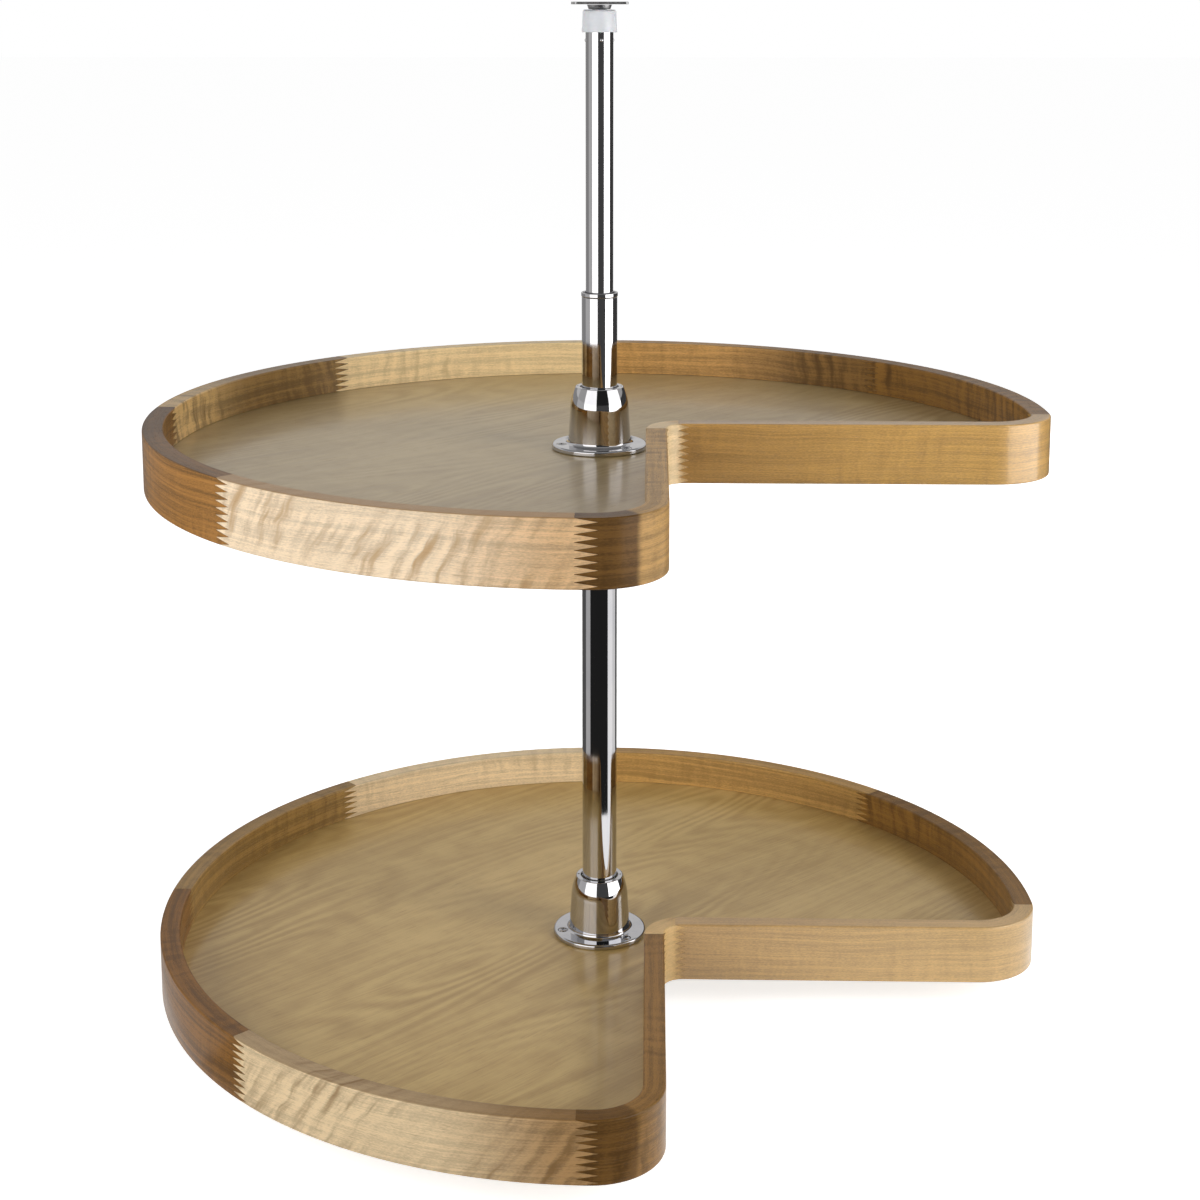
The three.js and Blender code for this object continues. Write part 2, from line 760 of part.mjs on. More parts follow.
/** Split nylon sleeve that the core spreads against the outer tube. */
function lockSleeve() {
  const radius = outerTubeBore - seatGap;
  const body = turnedRing(
    [
      [coreTaper(sleeveBottom) + seatGap, sleeveBottom],
      [radius - 0.8, sleeveBottom],
      [radius, sleeveBottom + 1.5],
      [radius, sleeveTop - 1.5],
      [radius - 0.8, sleeveTop],
      [coreTaper(sleeveTop) + seatGap, sleeveTop],
    ],
    tubeFacets,
  );
  const slit = block([0, -sleeveSlit / 2, sleeveBottom - 1], [radius + 1, sleeveSlit / 2, sleeveTop + 1]);
  return body.subtract(slit);
}

/** White nylon cap over the end of the inner tube, turning on the spindle. */
function topCap() {
  const seat = innerTubeRadius + seatGap;
  const webBottom = capTop - capWeb;
  return turnedRing(
    [
      [seat, capBottom],
      [capRadius + capFlare, capBottom],
      [capRadius + capFlare, capBottom + 2],
      [capRadius, capBottom + 3.2],
      [capRadius, capTop - 1.4],
      [capRadius - 0.5, capTop - 0.5],
      [capRadius - 1.5, capTop],
      [spindleRadius + seatGap, capTop],
      [spindleRadius + seatGap, webBottom],
      [seat, webBottom],
    ],
    tubeFacets,
  );
}

/** Top of the groove that holds the spindle's clip, just below the cap's web. */
const clipGrooveTop = capTop - capWeb - seatGap;

/** Spindle below the top plate: conical neck, pin and the groove for its clip. */
function spindle() {
  const neckFoot = neckTop - neckHeight;
  const bottom = neckFoot - spindleLength;
  const grooveBottom = clipGrooveTop - clipThickness - seatGap;
  return turned(
    [
      [0, neckTop],
      [neckTopRadius, neckTop],
      [neckFootRadius, neckFoot],
      [spindleRadius, neckFoot],
      [spindleRadius, clipGrooveTop],
      [spindleRadius - clipGroove, clipGrooveTop],
      [spindleRadius - clipGroove, grooveBottom],
      [spindleRadius, grooveBottom],
      [spindleRadius, bottom + 0.8],
      [spindleRadius - 0.8, bottom],
      [0, bottom],
    ],
    pinFacets,
  );
}

/** Spring clip in the spindle's groove: an open ring. */
function spindleClip() {
  const top = clipGrooveTop - seatGap / 2;
  const bottom = top - clipThickness;
  const mouth = block([0, -2, bottom - 1], [clipRadius + 1, 2, top + 1]);
  return ring(spindleRadius - clipGroove + seatGap, clipRadius, bottom, top, pinFacets)
    .subtract(mouth);
}

/** Telescoping pole from floor plate to top plate. */
function pole() {
  const group = new THREE.Group();
  const guide = ring(
    innerTubeRadius + seatGap,
    outerTubeBore - seatGap,
    outerTubeTop - guideLength,
    outerTubeTop,
  );
  const topPlateOutline = plateShape(topPlateSize, topPlateCorner, topPlateHoleInset);
  const topPlate = prism(topPlateOutline, topPlateTop - topPlateThickness, topPlateTop, plateEdge);
  const outerTube = ring(outerTubeBore, outerTubeRadius, outerTubeBottom, outerTubeTop);
  group.add(piece('floor_plate', floorPlate(), zincSteel));
  group.add(piece('foot_bush', footBush(), naturalNylon));
  group.add(piece('outer_tube', outerTube, chrome));
  group.add(piece('mouth_ring', mouthRing(), chrome));
  group.add(piece('guide_bush', guide, blackNylon));
  group.add(piece('inner_tube', innerTube(), chrome));
  group.add(piece('lock_core', lockCore(), zincSteel));
  group.add(piece('lock_sleeve', lockSleeve(), naturalNylon));
  group.add(piece('top_cap', topCap(), whiteNylon));
  group.add(piece('top_spindle', spindle(), zincSteel));
  group.add(piece('spindle_clip', spindleClip(), blackSteel));
  group.add(piece('top_plate', placed(topPlate, topPlateTurn), zincSteel));
  return group;
}

// ---------------------------------------------------------------- assembly

const group = new THREE.Group();
group.add(pole());
group.add(tray('lower', lowerFloorTop));
group.add(tray('upper', upperFloorTop));

export default group;
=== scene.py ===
"""Kidney-shaped wooden turntable trays on a telescoping chromed pole.

Every length of the shapes is in millimetres and is turned into metres where a mesh is made.
The pole stands on the Z axis, and the notch of both trays opens towards +X and -Y.
"""

import logging
import math
from dataclasses import dataclass, field, replace
from enum import Enum
from functools import partial
from typing import Any, Callable, Dict, List, Mapping, Optional, Sequence, Tuple, Union

import bmesh
import bpy
from mathutils import Matrix, Vector


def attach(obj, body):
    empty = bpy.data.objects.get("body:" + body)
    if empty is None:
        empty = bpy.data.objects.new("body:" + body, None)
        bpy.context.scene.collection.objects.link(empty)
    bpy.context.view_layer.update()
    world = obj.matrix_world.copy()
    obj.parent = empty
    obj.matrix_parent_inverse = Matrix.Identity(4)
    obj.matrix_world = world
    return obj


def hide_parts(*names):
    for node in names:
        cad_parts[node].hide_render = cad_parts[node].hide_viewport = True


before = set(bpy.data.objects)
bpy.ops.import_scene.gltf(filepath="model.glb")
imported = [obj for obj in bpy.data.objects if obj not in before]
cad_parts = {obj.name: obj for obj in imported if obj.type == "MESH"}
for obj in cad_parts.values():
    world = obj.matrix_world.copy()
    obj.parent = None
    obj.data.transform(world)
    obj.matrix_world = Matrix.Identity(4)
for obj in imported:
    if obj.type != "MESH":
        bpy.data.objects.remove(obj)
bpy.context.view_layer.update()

MM = 0.001
IMAGE_SIZE = 1200
Z_AXIS = (0.0, 0.0, 1.0)
WHITE = (1.0, 1.0, 1.0, 1.0)
SHARP_ANGLE = 35.0
DIAGONAL = 0.7071
NEAR_ZERO = 1e-6

log = logging.getLogger("carousel")

Point2 = Tuple[float, float]
Point3 = Tuple[float, float, float]
Colour = Tuple[float, float, float, float]
Mesh = bmesh.types.BMesh
Edge = bmesh.types.BMEdge
Vert = bmesh.types.BMVert
Socket = bpy.types.NodeSocket
Grain = Callable[[Vector], Point3]


def srgb(red: float, green: float, blue: float) -> Colour:
    """Linear colour of an 8-bit display colour.

    Args:
        red: Red from 0 to 255.
        green: Green from 0 to 255.
        blue: Blue from 0 to 255.

    Returns:
        The colour with an alpha of 1.
    """
    def linear(value: float) -> float:
        """Linear value of one channel."""
        share = value / 255
        return share / 12.92 if share <= 0.04045 else ((share + 0.055) / 1.055) ** 2.4

    return (linear(red), linear(green), linear(blue), 1.0)


def shade(tone: Sequence[float], factor: float) -> Colour:
    """Linear colour of an 8-bit display colour scaled by a factor."""
    return srgb(*(min(255.0, part * factor) for part in tone))


def scaled(colour: Colour, red: float, green: float, blue: float) -> Colour:
    """A linear colour with its three parts scaled."""
    return (colour[0] * red, colour[1] * green, colour[2] * blue, colour[3])


# -------------------- shader graph


class Value:
    """A number on a shader socket. Arithmetic on it adds Math nodes."""

    def __init__(self, graph: "Graph", socket: Socket) -> None:
        """Wraps a socket of a graph."""
        self.graph = graph
        self.socket = socket

    def __add__(self, other: "Number") -> "Value":
        """Sum."""
        return self.graph.math("ADD", self, other)

    __radd__ = __add__

    def __sub__(self, other: "Number") -> "Value":
        """Difference."""
        return self.graph.math("SUBTRACT", self, other)

    def __rsub__(self, other: "Number") -> "Value":
        """Difference from a number."""
        return self.graph.math("SUBTRACT", other, self)

    def __mul__(self, other: "Number") -> "Value":
        """Product."""
        return self.graph.math("MULTIPLY", self, other)

    __rmul__ = __mul__

    def __abs__(self) -> "Value":
        """Size without its sign."""
        return self.graph.math("ABSOLUTE", self)

    def sine(self) -> "Value":
        """Sine of the value in radians."""
        return self.graph.math("SINE", self)

    def fade(self, low: float, high: float) -> "Value":
        """Smooth step from 0 at low to 1 at high.

        Args:
            low: Value that gives 0.
            high: Value that gives 1; below low, the step falls.

        Returns:
            The step, from 0 to 1.
        """
        node = self.graph.node(
            "ShaderNodeMapRange",
            {"interpolation_type": "SMOOTHSTEP"},
            {"Value": self, "From Min": min(low, high), "From Max": max(low, high),
             "To Min": float(low > high), "To Max": float(low <= high)},
        )
        return Value(self.graph, node.outputs["Result"])


Number = Union[float, Value]
Input = Union[Number, Sequence[float], Socket]
Inputs = Mapping[Union[str, int], Input]


class Graph:
    """The nodes of one material or of the world."""

    def __init__(self, tree: bpy.types.NodeTree) -> None:
        """Empties the tree."""
        self.tree = tree
        self.tree.nodes.clear()

    def node(self, kind: str, settings: Optional[Mapping[str, Any]] = None,
             sockets: Optional[Inputs] = None) -> bpy.types.Node:
        """Adds a node.

        Args:
            kind: The node's type.
            settings: Properties of the node.
            sockets: Values or links of its inputs, by name or number.

        Returns:
            The node.
        """
        made = self.tree.nodes.new(kind)
        for name, value in (settings or {}).items():
            setattr(made, name, value)
        for name, value in (sockets or {}).items():
            link = value.socket if isinstance(value, Value) else value
            if isinstance(link, Socket):
                self.tree.links.new(link, made.inputs[name])
            else:
                made.inputs[name].default_value = link
        return made

    def math(self, operation: str, *values: Number) -> Value:
        """A Math node on one to three numbers."""
        made = self.node("ShaderNodeMath", {"operation": operation}, dict(enumerate(values)))
        return Value(self, made.outputs[0])

    def split(self, vector: Socket) -> List[Value]:
        """The three parts of a vector."""
        made = self.node("ShaderNodeSeparateXYZ", sockets={0: vector})
        return [Value(self, part) for part in made.outputs]

    def position(self) -> List[Value]:
        """The point's place in metres, in the object's own frame."""
        return self.split(self.node("ShaderNodeTexCoord").outputs["Object"])

    def rise(self) -> Value:
        """Upward part of the surface's normal."""
        return self.split(self.node("ShaderNodeNewGeometry").outputs["True Normal"])[2]

    def noise(self, x: Number, y: Number, z: Number, detail: float = 2.0, roughness: float = 0.5,
              distortion: float = 0.0) -> Value:
        """Noise of unit scale at a place.

        Args:
            x: First coordinate.
            y: Second coordinate.
            z: Third coordinate.
            detail: Number of finer layers.
            roughness: Strength of the finer layers.
            distortion: Warp of the pattern.

        Returns:
            The noise, from 0 to 1.
        """
        place = self.node("ShaderNodeCombineXYZ", sockets={0: x, 1: y, 2: z}).outputs[0]
        made = self.node("ShaderNodeTexNoise", {"noise_dimensions": "3D"},
                         {"Vector": place, "Scale": 1.0, "Detail": detail, "Roughness": roughness,
                          "Distortion": distortion})
        return Value(self, made.outputs[0])

    def mix(self, factor: Number, first: Input, second: Input) -> Socket:
        """Mix of two colours, with the second one's share as the factor."""
        made = self.node("ShaderNodeMix", {"data_type": "RGBA"}, {0: factor, 6: first, 7: second})
        return made.outputs[2]

    def bump(self, height: Value, distance: float) -> Socket:
        """Normal of a relief."""
        sockets = {"Height": height, "Distance": distance}
        return self.node("ShaderNodeBump", sockets=sockets).outputs[0]

    def principled(self, sockets: Inputs) -> Socket:
        """Output of a Principled shader."""
        return self.node("ShaderNodeBsdfPrincipled", sockets=sockets).outputs[0]

    def seen(self) -> Value:
        """Tells what is seen from what lights.

        Returns:
            1 for rays of the camera, of mirrors and of glass, 0 for others.
        """
        rays = self.node("ShaderNodeLightPath").outputs
        camera, glossy, passing = (Value(self, rays[f"Is {name} Ray"])
                                   for name in ("Camera", "Glossy", "Transmission"))
        return self.math("MINIMUM", camera + glossy + passing, 1.0)


class Finish:
    """A material made of nodes. Each kind of finish draws its own surface."""

    name: str

    def make(self) -> bpy.types.Material:
        """Builds the material.

        Returns:
            The finished material.
        """
        material = bpy.data.materials.new(self.name)
        material.use_nodes = True
        graph = Graph(material.node_tree)
        graph.node("ShaderNodeOutputMaterial", sockets={"Surface": self.surface(graph)})
        return material

    def surface(self, graph: Graph) -> Socket:
        """Draws the surface.

        Args:
            graph: The material's nodes.

        Returns:
            The surface shader's output.
        """
        raise NotImplementedError


# -------------------- finishes


class Wood(Enum):
    """Woods of the rim segments, named as the material slots are."""

    PALE = "pale_wood"
    GOLDEN = "golden_wood"
    BROWN = "brown_wood"
    CREAM = "cream_wood"


@dataclass(frozen=True)
class Board(Finish):
    """Solid hardwood of a rim segment: mean display colour, figure's colour and contrast.

    The turn holds the place along the segment where its wood starts to darken towards the
    figure's colour, the place where that ends, in metres, and the share of the change. On the
    front wall's corner and at the front end of arc 6 this darkening is painted shade, where the
    surface faces away from the light; on the other segments it only makes the wood darker towards
    one end. The top shade is painted shade on the top faces, towards the pore colour. The grain
    attribute of a piece holds the way along the rim, the height and the depth behind the outer
    face, in metres, and the seed is where along the grain the board is cut.
    """

    wood: Wood
    tone: Tuple[int, int, int]
    shadow: Tuple[int, int, int]
    contrast: float = 0.12
    flame: float = 0.25
    slant: float = 0.0
    streaks: float = 1.0
    turn: Tuple[float, float, float] = (0.0, 1.0, 0.0)
    top_shade: float = 0.15
    sheen: float = 1.0
    name: str = "board"
    seed: float = 0.0

    def surface(self, graph: Graph) -> Socket:
        """Growth rings, fibres, pores and flame figure under a satin lacquer, with painted shade on
        the tops and towards the turn's end.

        Args:
            graph: The material's nodes.

        Returns:
            The surface shader's output.
        """
        grain = graph.node("ShaderNodeAttribute", {"attribute_name": "grain"}).outputs["Vector"]
        place, up, depth = graph.split(grain)
        along = place + self.seed
        drift = graph.noise(along * 5, up * 7, depth * 7) - 0.5
        height = up + drift * 0.018
        rings = graph.noise(along * 1.8, height * 95, depth * 80, 2.0, 0.6) - 0.5
        lines = graph.noise(along * 3.0, height * 330, depth * 300, 2.0, 0.6) - 0.5
        fibres = graph.noise(along * 16, height * 900, depth * 900, 3.0, 0.62)
        pores = graph.noise(along * 80, height * 2400, depth * 2400, 1.0).fade(0.60, 0.72)
        speck = graph.noise(along * 420, up * 1300, depth * 1300)
        sway = graph.noise(along * 26, up * 55, depth * 55, 1.0) - 0.5
        figure = self._figure(graph, along, up, depth, drift * 0.03 + sway * 0.009)
        tone = (0.5 + (rings + lines) * (1.2 * self.streaks) + (fibres - 0.5) + (speck - 0.5)
                - figure * self.flame)
        grade = tone.fade(0.05, 0.95)
        shadow = srgb(*self.shadow)
        pore = shade(self.shadow, 0.84)
        wood = graph.mix(grade, shade(self.tone, 1 - self.contrast),
                         shade(self.tone, 1 + self.contrast))
        wood = graph.mix(figure.fade(-0.1, 1.0) * self.flame, wood, shadow)
        start, end, share = self.turn
        # Painted shade: towards one end the wood turns to a darker, grained copy of itself. On the
        # front wall's corner and arc 6's front end this stands in for shade where the surface faces
        # away from the light; elsewhere it is only a darker end of the board.
        if share > 0:
            shade_and_tone_wood = graph.mix(grade, scaled(shadow, 0.68, 0.68, 0.68),
                             scaled(shadow, 1.32, 1.32, 1.32))
            wood = graph.mix((place + sway * 0.004).fade(start, end) * share, wood, shade_and_tone_wood)
        # Painted shade: faces that look upwards are darkened towards the pore colour, as if the
        # tops got less light.
        wood = graph.mix(graph.rise().fade(0.55, 0.9) * self.top_shade, wood, pore)
        wood = graph.mix(figure.fade(0.2, 1.4) * (self.flame * 0.2), wood, pore)
        wood = graph.mix(pores * 0.38, wood, pore)
        return graph.principled({
            "Base Color": wood, "Roughness": 0.33 + (fibres - 0.5) * 0.14 + pores * 0.1,
            "Normal": graph.bump(fibres * 0.5 - pores * 0.6, 0.0001),
            "Coat Weight": 0.18 * self.sheen, "Coat Roughness": 0.16,
            "Specular IOR Level": 0.25 * self.sheen})

    def _figure(self, graph: Graph, along: Value, up: Value, depth: Value, wander: Value) -> Value:
        """Flame figure: soft slanting stripes that come and go in patches.

        Args:
            graph: The material's nodes.
            along: Way along the rim.
            up: Height.
            depth: Depth behind the outer face.
            wander: Way by which the stripes leave their course.

        Returns:
            The figure, about 0, and above 0 where the wood is darker.
        """
        course = along - (up + depth) * self.slant + wander
        curl = graph.noise(course * 95, up * 20, depth * 20, 2.0, 0.5, 0.4)
        ripple = graph.noise(course * 240, up * 45, depth * 45)
        patches = graph.noise(along * 9, up * 18, depth * 18)
        bands = (course * 400 + curl * 6).sine()
        stripes = bands * 0.26 + (curl - 0.5) * 1.7 + (ripple - 0.5) * 1.5
        return stripes * (0.2 + patches.fade(0.38, 0.62))


@dataclass(frozen=True)
class VeneerPly(Finish):
    """Plywood panel with a plain-sawn veneer, its long arches and its layered edge."""

    name: str
    light: Colour
    dark: Colour
    pore: Colour
    top: float
    thickness: float
    seed: float
    layers: int = 5

    def surface(self, graph: Graph) -> Socket:
        """Grain on the diagonal, with arches that follow a smooth relief and layered edges.

        Args:
            graph: The material's nodes.

        Returns:
            The surface shader's output.
        """
        east, north, z = graph.position()
        x = (east + north) * DIAGONAL + self.seed
        y = (north - east) * DIAGONAL + self.seed
        swell = graph.noise(x * 1.9, y * 8.5, 0.0, 1.0, 0.4)
        wander = graph.noise(x * 9, y * 40, 1.0)
        arches = (swell * 165 + wander * 2.6).sine()
        faint = graph.noise(x * 3.2, y * 6, 4.0).fade(0.42, 0.68)
        across = y + (swell - 0.5) * 0.06
        rings = graph.noise(x * 1.5, across * 60, 2.0, 3.0, 0.6)
        fibres = graph.noise(x * 12, across * 560, z * 400, 3.0, 0.62)
        pores = graph.noise(x * 70, across * 1900, z * 400, 1.0).fade(0.61, 0.72)
        cloud = graph.noise(x * 4, y * 6, 3.0, 3.0)
        ripple = graph.noise(x * 38, y * 21, 5.0, 3.0, 0.6)
        tone = (0.5 + (rings - 0.5) * 0.6 + (fibres - 0.5) * 0.7 + arches * (0.05 + faint * 0.17)
                + (cloud - 0.5) * 0.8 + (ripple - 0.5) * 0.45)
        wood = graph.mix(tone.fade(0.0, 1.0), self.dark, self.light)
        wood = graph.mix(pores * 0.3, wood, self.pore)
        glue = ((z - self.top) * (math.pi * self.layers / self.thickness)).sine()
        plies = graph.mix(glue.fade(-0.25, 0.25), self.light, self.pore)
        wood = graph.mix(abs(graph.rise()).fade(0.5, 0.3), wood, plies)
        return graph.principled({
            "Base Color": wood, "Roughness": 0.36 + (fibres - 0.5) * 0.14 + pores * 0.08,
            "Normal": graph.bump(fibres * 0.4 - pores * 0.5, 0.00006),
            "Coat Weight": 0.5, "Coat Roughness": 0.15, "Specular IOR Level": 0.3})


@dataclass(frozen=True)
class Chrome(Finish):
    """Bright chrome plating with faint polishing haze and wiping marks."""

    name: str
    colour: Colour
    roughness: float

    def surface(self, graph: Graph) -> Socket:
        """Mirror metal whose roughness and tint wander slightly.

        Args:
            graph: The material's nodes.

        Returns:
            The surface shader's output.
        """
        x, y, z = graph.position()
        haze = graph.noise(x * 60, y * 60, z * 18, 3.0, 0.6)
        wipes = graph.noise(x * 500, y * 500, z * 5)
        dull = scaled(self.colour, 0.90, 0.91, 0.94)
        colour = graph.mix(haze.fade(0.35, 0.75), self.colour, dull)
        level = self.roughness + haze.fade(0.45, 0.8) * 0.035 + (wipes - 0.5) * 0.03
        return graph.principled({"Base Color": colour, "Metallic": 1.0, "Roughness": level})


@dataclass(frozen=True)
class Steel(Finish):
    """Rolled or turned steel with a thin zinc or black coating."""

    name: str
    light: Colour
    dark: Colour
    roughness: float
    metallic: float = 1.0

    def surface(self, graph: Graph) -> Socket:
        """Fine rolling lines, soft clouding and small scratches.

        Args:
            graph: The material's nodes.

        Returns:
            The surface shader's output.
        """
        x, y, z = graph.position()
        cloud = graph.noise(x * 110, y * 110, z * 110, 4.0, 0.6)
        lines = graph.noise(x * 40, y * 2600, z * 2600)
        scratch = graph.noise(x * 90 + y * 700, y * 60 - x * 500, z * 300)
        tone = cloud.fade(0.3, 0.72) * 0.7 + (lines - 0.5) * 0.5 + 0.15
        colour = graph.mix(tone, self.dark, self.light)
        colour = graph.mix(scratch.fade(0.64, 0.72) * 0.3, colour, self.light)
        level = self.roughness + (cloud - 0.5) * 0.16 + (lines - 0.5) * 0.12
        return graph.principled({
            "Base Color": colour, "Metallic": self.metallic, "Roughness": level,
            "Normal": graph.bump(lines, 0.00002)})


@dataclass(frozen=True)
class Nylon(Finish):
    """Moulded nylon with a fine satin skin and slight clouding."""

    name: str
    light: Colour
    dark: Colour

    def surface(self, graph: Graph) -> Socket:
        """Soft milky surface with fine texture and faint flow lines.

        Args:
            graph: The material's nodes.

        Returns:
            The surface shader's output.
        """
        x, y, z = graph.position()
        cloud = graph.noise(x * 90, y * 90, z * 150, 3.0, 0.6)
        skin = graph.noise(x * 3200, y * 3200, z * 3200)
        flow = graph.noise(x * 120, y * 120, z * 900)
        colour = graph.mix(cloud.fade(0.3, 0.75) * 0.7 + flow * 0.3, self.light, self.dark)
        return graph.principled({
            "Base Color": colour, "Roughness": 0.42 + (skin - 0.5) * 0.12 + (cloud - 0.5) * 0.1,
            "Normal": graph.bump(skin, 0.00001), "Specular IOR Level": 0.45,
            "Subsurface Weight": 0.08, "Subsurface Scale": 0.002})


@dataclass(frozen=True)
class PaleFloor(Finish):
    """Studio floor that shows white, apart from the object's shadow."""

    name: str = "pale_floor"
    paint: float = 0.80
    glow: float = 0.74

    def surface(self, graph: Graph) -> Socket:
        """Pale paint, with a glow that only the camera, mirrors and glass see.

        Args:
            graph: The material's nodes.

        Returns:
            The surface shader's output.
        """
        x, y, _ = graph.position()
        level = self.paint + graph.noise(x * 30, y * 30, 0.0) * 0.02
        grey = graph.node("ShaderNodeCombineColor", sockets={0: level, 1: level, 2: level})
        paint = graph.node("ShaderNodeBsdfDiffuse", sockets={"Color": grey.outputs[0]}).outputs[0]
        glow = graph.node("ShaderNodeEmission", sockets={"Color": WHITE, "Strength": self.glow})
        lit = graph.node("ShaderNodeAddShader", sockets={0: paint, 1: glow.outputs[0]})
        sockets = {0: graph.seen(), 1: paint, 2: lit.outputs[0]}
        return graph.node("ShaderNodeMixShader", sockets=sockets).outputs[0]


@dataclass(frozen=True)
class Glow(Finish):
    """Even, slightly warm glow of a card."""

    name: str
    level: float

    def surface(self, graph: Graph) -> Socket:
        """Plain light of the card's level."""
        sockets = {"Color": (1.0, 0.98, 0.96, 1.0), "Strength": self.level}
        return graph.node("ShaderNodeEmission", sockets=sockets).outputs[0]


class Metal(Enum):
    """Finishes of the metal and plastic pieces, named as the material slots are."""

    CHROME = "chrome"
    ZINC = "zinc_steel"
    WHITE_NYLON = "white_nylon"
    NATURAL_NYLON = "natural_nylon"
    BLACK_NYLON = "black_nylon"
    BLACK = "black_steel"


class Segment(Enum):
    """Segments of a rim, named as their nodes end."""

    ARC_1 = "rim_arc_1"
    ARC_2 = "rim_arc_2"
    ARC_3 = "rim_arc_3"
    ARC_4 = "rim_arc_4"
    ARC_5 = "rim_arc_5"
    ARC_6 = "rim_arc_6"
    FRONT_WALL = "rim_front_wall"
    RIGHT_WALL = "rim_right_wall"
    NOTCH = "rim_notch_corner"


ARCS = tuple(Segment)[:6]

# On every board, top_shade darkens the top faces as painted shade; the turn paints shade on the
# front wall's corner and arc 6, marked below.
UPPER_BOARDS: Dict[Segment, Board] = {
    Segment.ARC_1: Board(Wood.BROWN, (130, 93, 42), (88, 58, 22), 0.15, 0.7, 0.1),
    Segment.ARC_2: Board(Wood.GOLDEN, (182, 139, 80), (100, 70, 30), 0.14, 0.65, 0.15,
                         turn=(0.04, -0.07, 0.75)),
    Segment.ARC_3: Board(Wood.PALE, (226, 199, 150), (190, 156, 104), 0.08, 0.3),
    Segment.ARC_4: Board(Wood.BROWN, (184, 151, 97), (112, 82, 40), 0.13, 0.8, 0.1,
                         turn=(0.08, -0.03, 0.8)),
    Segment.ARC_5: Board(Wood.BROWN, (147, 103, 49), (90, 60, 24), 0.18, 0.25, 0.0, 1.4,
                         turn=(0.02, -0.06, 0.6), top_shade=0.6, sheen=0.5),
    # Arc 6: the turn paints shade at its front end, which faces away from the light.
    Segment.ARC_6: Board(Wood.PALE, (235, 212, 180), (188, 141, 80), 0.08, 0.62, 0.5, 0.8,
                         turn=(0.02, 0.13, 0.65), top_shade=0.85, sheen=0.7),
    # Front wall: the turn paints shade on the part of the corner that faces away from the light.
    Segment.FRONT_WALL: Board(Wood.BROWN, (175, 137, 82), (86, 57, 22), 0.12, 0.35,
                              turn=(-0.036, -0.041, 0.9), top_shade=0.0, sheen=0.55),
    Segment.RIGHT_WALL: Board(Wood.GOLDEN, (192, 149, 78), (146, 106, 48), 0.12, 0.12, 0.0, 0.6,
                              turn=(0.03, 0.22, 0.5), sheen=3.4),
    Segment.NOTCH: Board(Wood.CREAM, (224, 197, 152), (184, 146, 92), 0.06, 0.3,
                         turn=(0.002, 0.012, 0.7)),
}

# As above: top_shade is painted shade on the tops, and the turn paints shade on arc 6 and the front
# wall's corner.
LOWER_BOARDS: Dict[Segment, Board] = {
    Segment.ARC_1: Board(Wood.BROWN, (140, 102, 48), (98, 68, 28), 0.13, 0.5, 0.1),
    Segment.ARC_2: Board(Wood.GOLDEN, (186, 146, 84), (138, 102, 54), 0.12, 0.2),
    Segment.ARC_3: Board(Wood.PALE, (230, 206, 166), (188, 156, 108), 0.09, 0.2),
    Segment.ARC_4: Board(Wood.BROWN, (152, 119, 66), (116, 86, 42), 0.13, 0.25),
    Segment.ARC_5: Board(Wood.BROWN, (122, 84, 38), (88, 57, 22), 0.18, 0.25, 0.0, 1.4, sheen=0.7),
    # Arc 6: the turn paints shade at its front end, which faces away from the light.
    Segment.ARC_6: Board(Wood.PALE, (220, 196, 157), (140, 102, 54), 0.08, 0.6, 0.7, 0.8,
                         turn=(0.02, 0.13, 0.85), top_shade=0.6, sheen=0.7),
    # Front wall: the turn paints shade on the part of the corner that faces away from the light.
    Segment.FRONT_WALL: Board(Wood.BROWN, (134, 99, 53), (88, 60, 24), 0.13, 0.35,
                              turn=(-0.036, -0.041, 0.8), top_shade=0.0, sheen=0.55),
    Segment.RIGHT_WALL: Board(Wood.GOLDEN, (197, 161, 104), (167, 131, 79), 0.10, 0.12, 0.0, 0.6,
                              turn=(0.03, 0.22, 0.5), sheen=2.6),
    Segment.NOTCH: Board(Wood.CREAM, (212, 178, 122), (180, 144, 92), 0.05, 0.25,
                         turn=(0.002, 0.012, 0.6)),
}

UPPER_VENEER = (srgb(189, 166, 118), srgb(158, 134, 90), srgb(114, 88, 52))
LOWER_VENEER = (srgb(202, 173, 112), srgb(167, 137, 80), srgb(118, 88, 43))


class Palette:
    """Finishes of the metal and plastic pieces, each made once."""

    def __init__(self) -> None:
        """Makes the finishes that several pieces share, kept by their slot."""
        finishes = {
            Metal.CHROME: Chrome("bright_chrome", (0.57, 0.57, 0.585, 1.0), 0.045),
            Metal.ZINC: Steel("zinc_plated_steel", srgb(186, 187, 188), srgb(150, 151, 153), 0.36),
            Metal.WHITE_NYLON: Nylon("white_moulded_nylon", srgb(224, 226, 230),
                                     srgb(210, 213, 218)),
            Metal.NATURAL_NYLON: Nylon("natural_nylon", srgb(224, 220, 207), srgb(205, 200, 184)),
            Metal.BLACK_NYLON: Nylon("black_nylon", srgb(48, 49, 52), srgb(34, 35, 38)),
            Metal.BLACK: Steel("blackened_steel", srgb(70, 71, 76), srgb(40, 41, 45), 0.42, 0.85),
        }
        self.hard = {metal: finish.make() for metal, finish in finishes.items()}


# -------------------- mesh helpers


def ring_edges(mesh: Mesh, points: Sequence[Point3]) -> List[Edge]:
    """Closed loop of edges through points."""
    verts = [mesh.verts.new(point) for point in points]
    return [mesh.edges.new((a, b)) for a, b in zip(verts, verts[1:] + verts[:1])]


def picked(parts: Sequence[Any], kind: type) -> List[Any]:
    """The parts of one kind, such as edges, in an operator's result."""
    return [part for part in parts if isinstance(part, kind)]


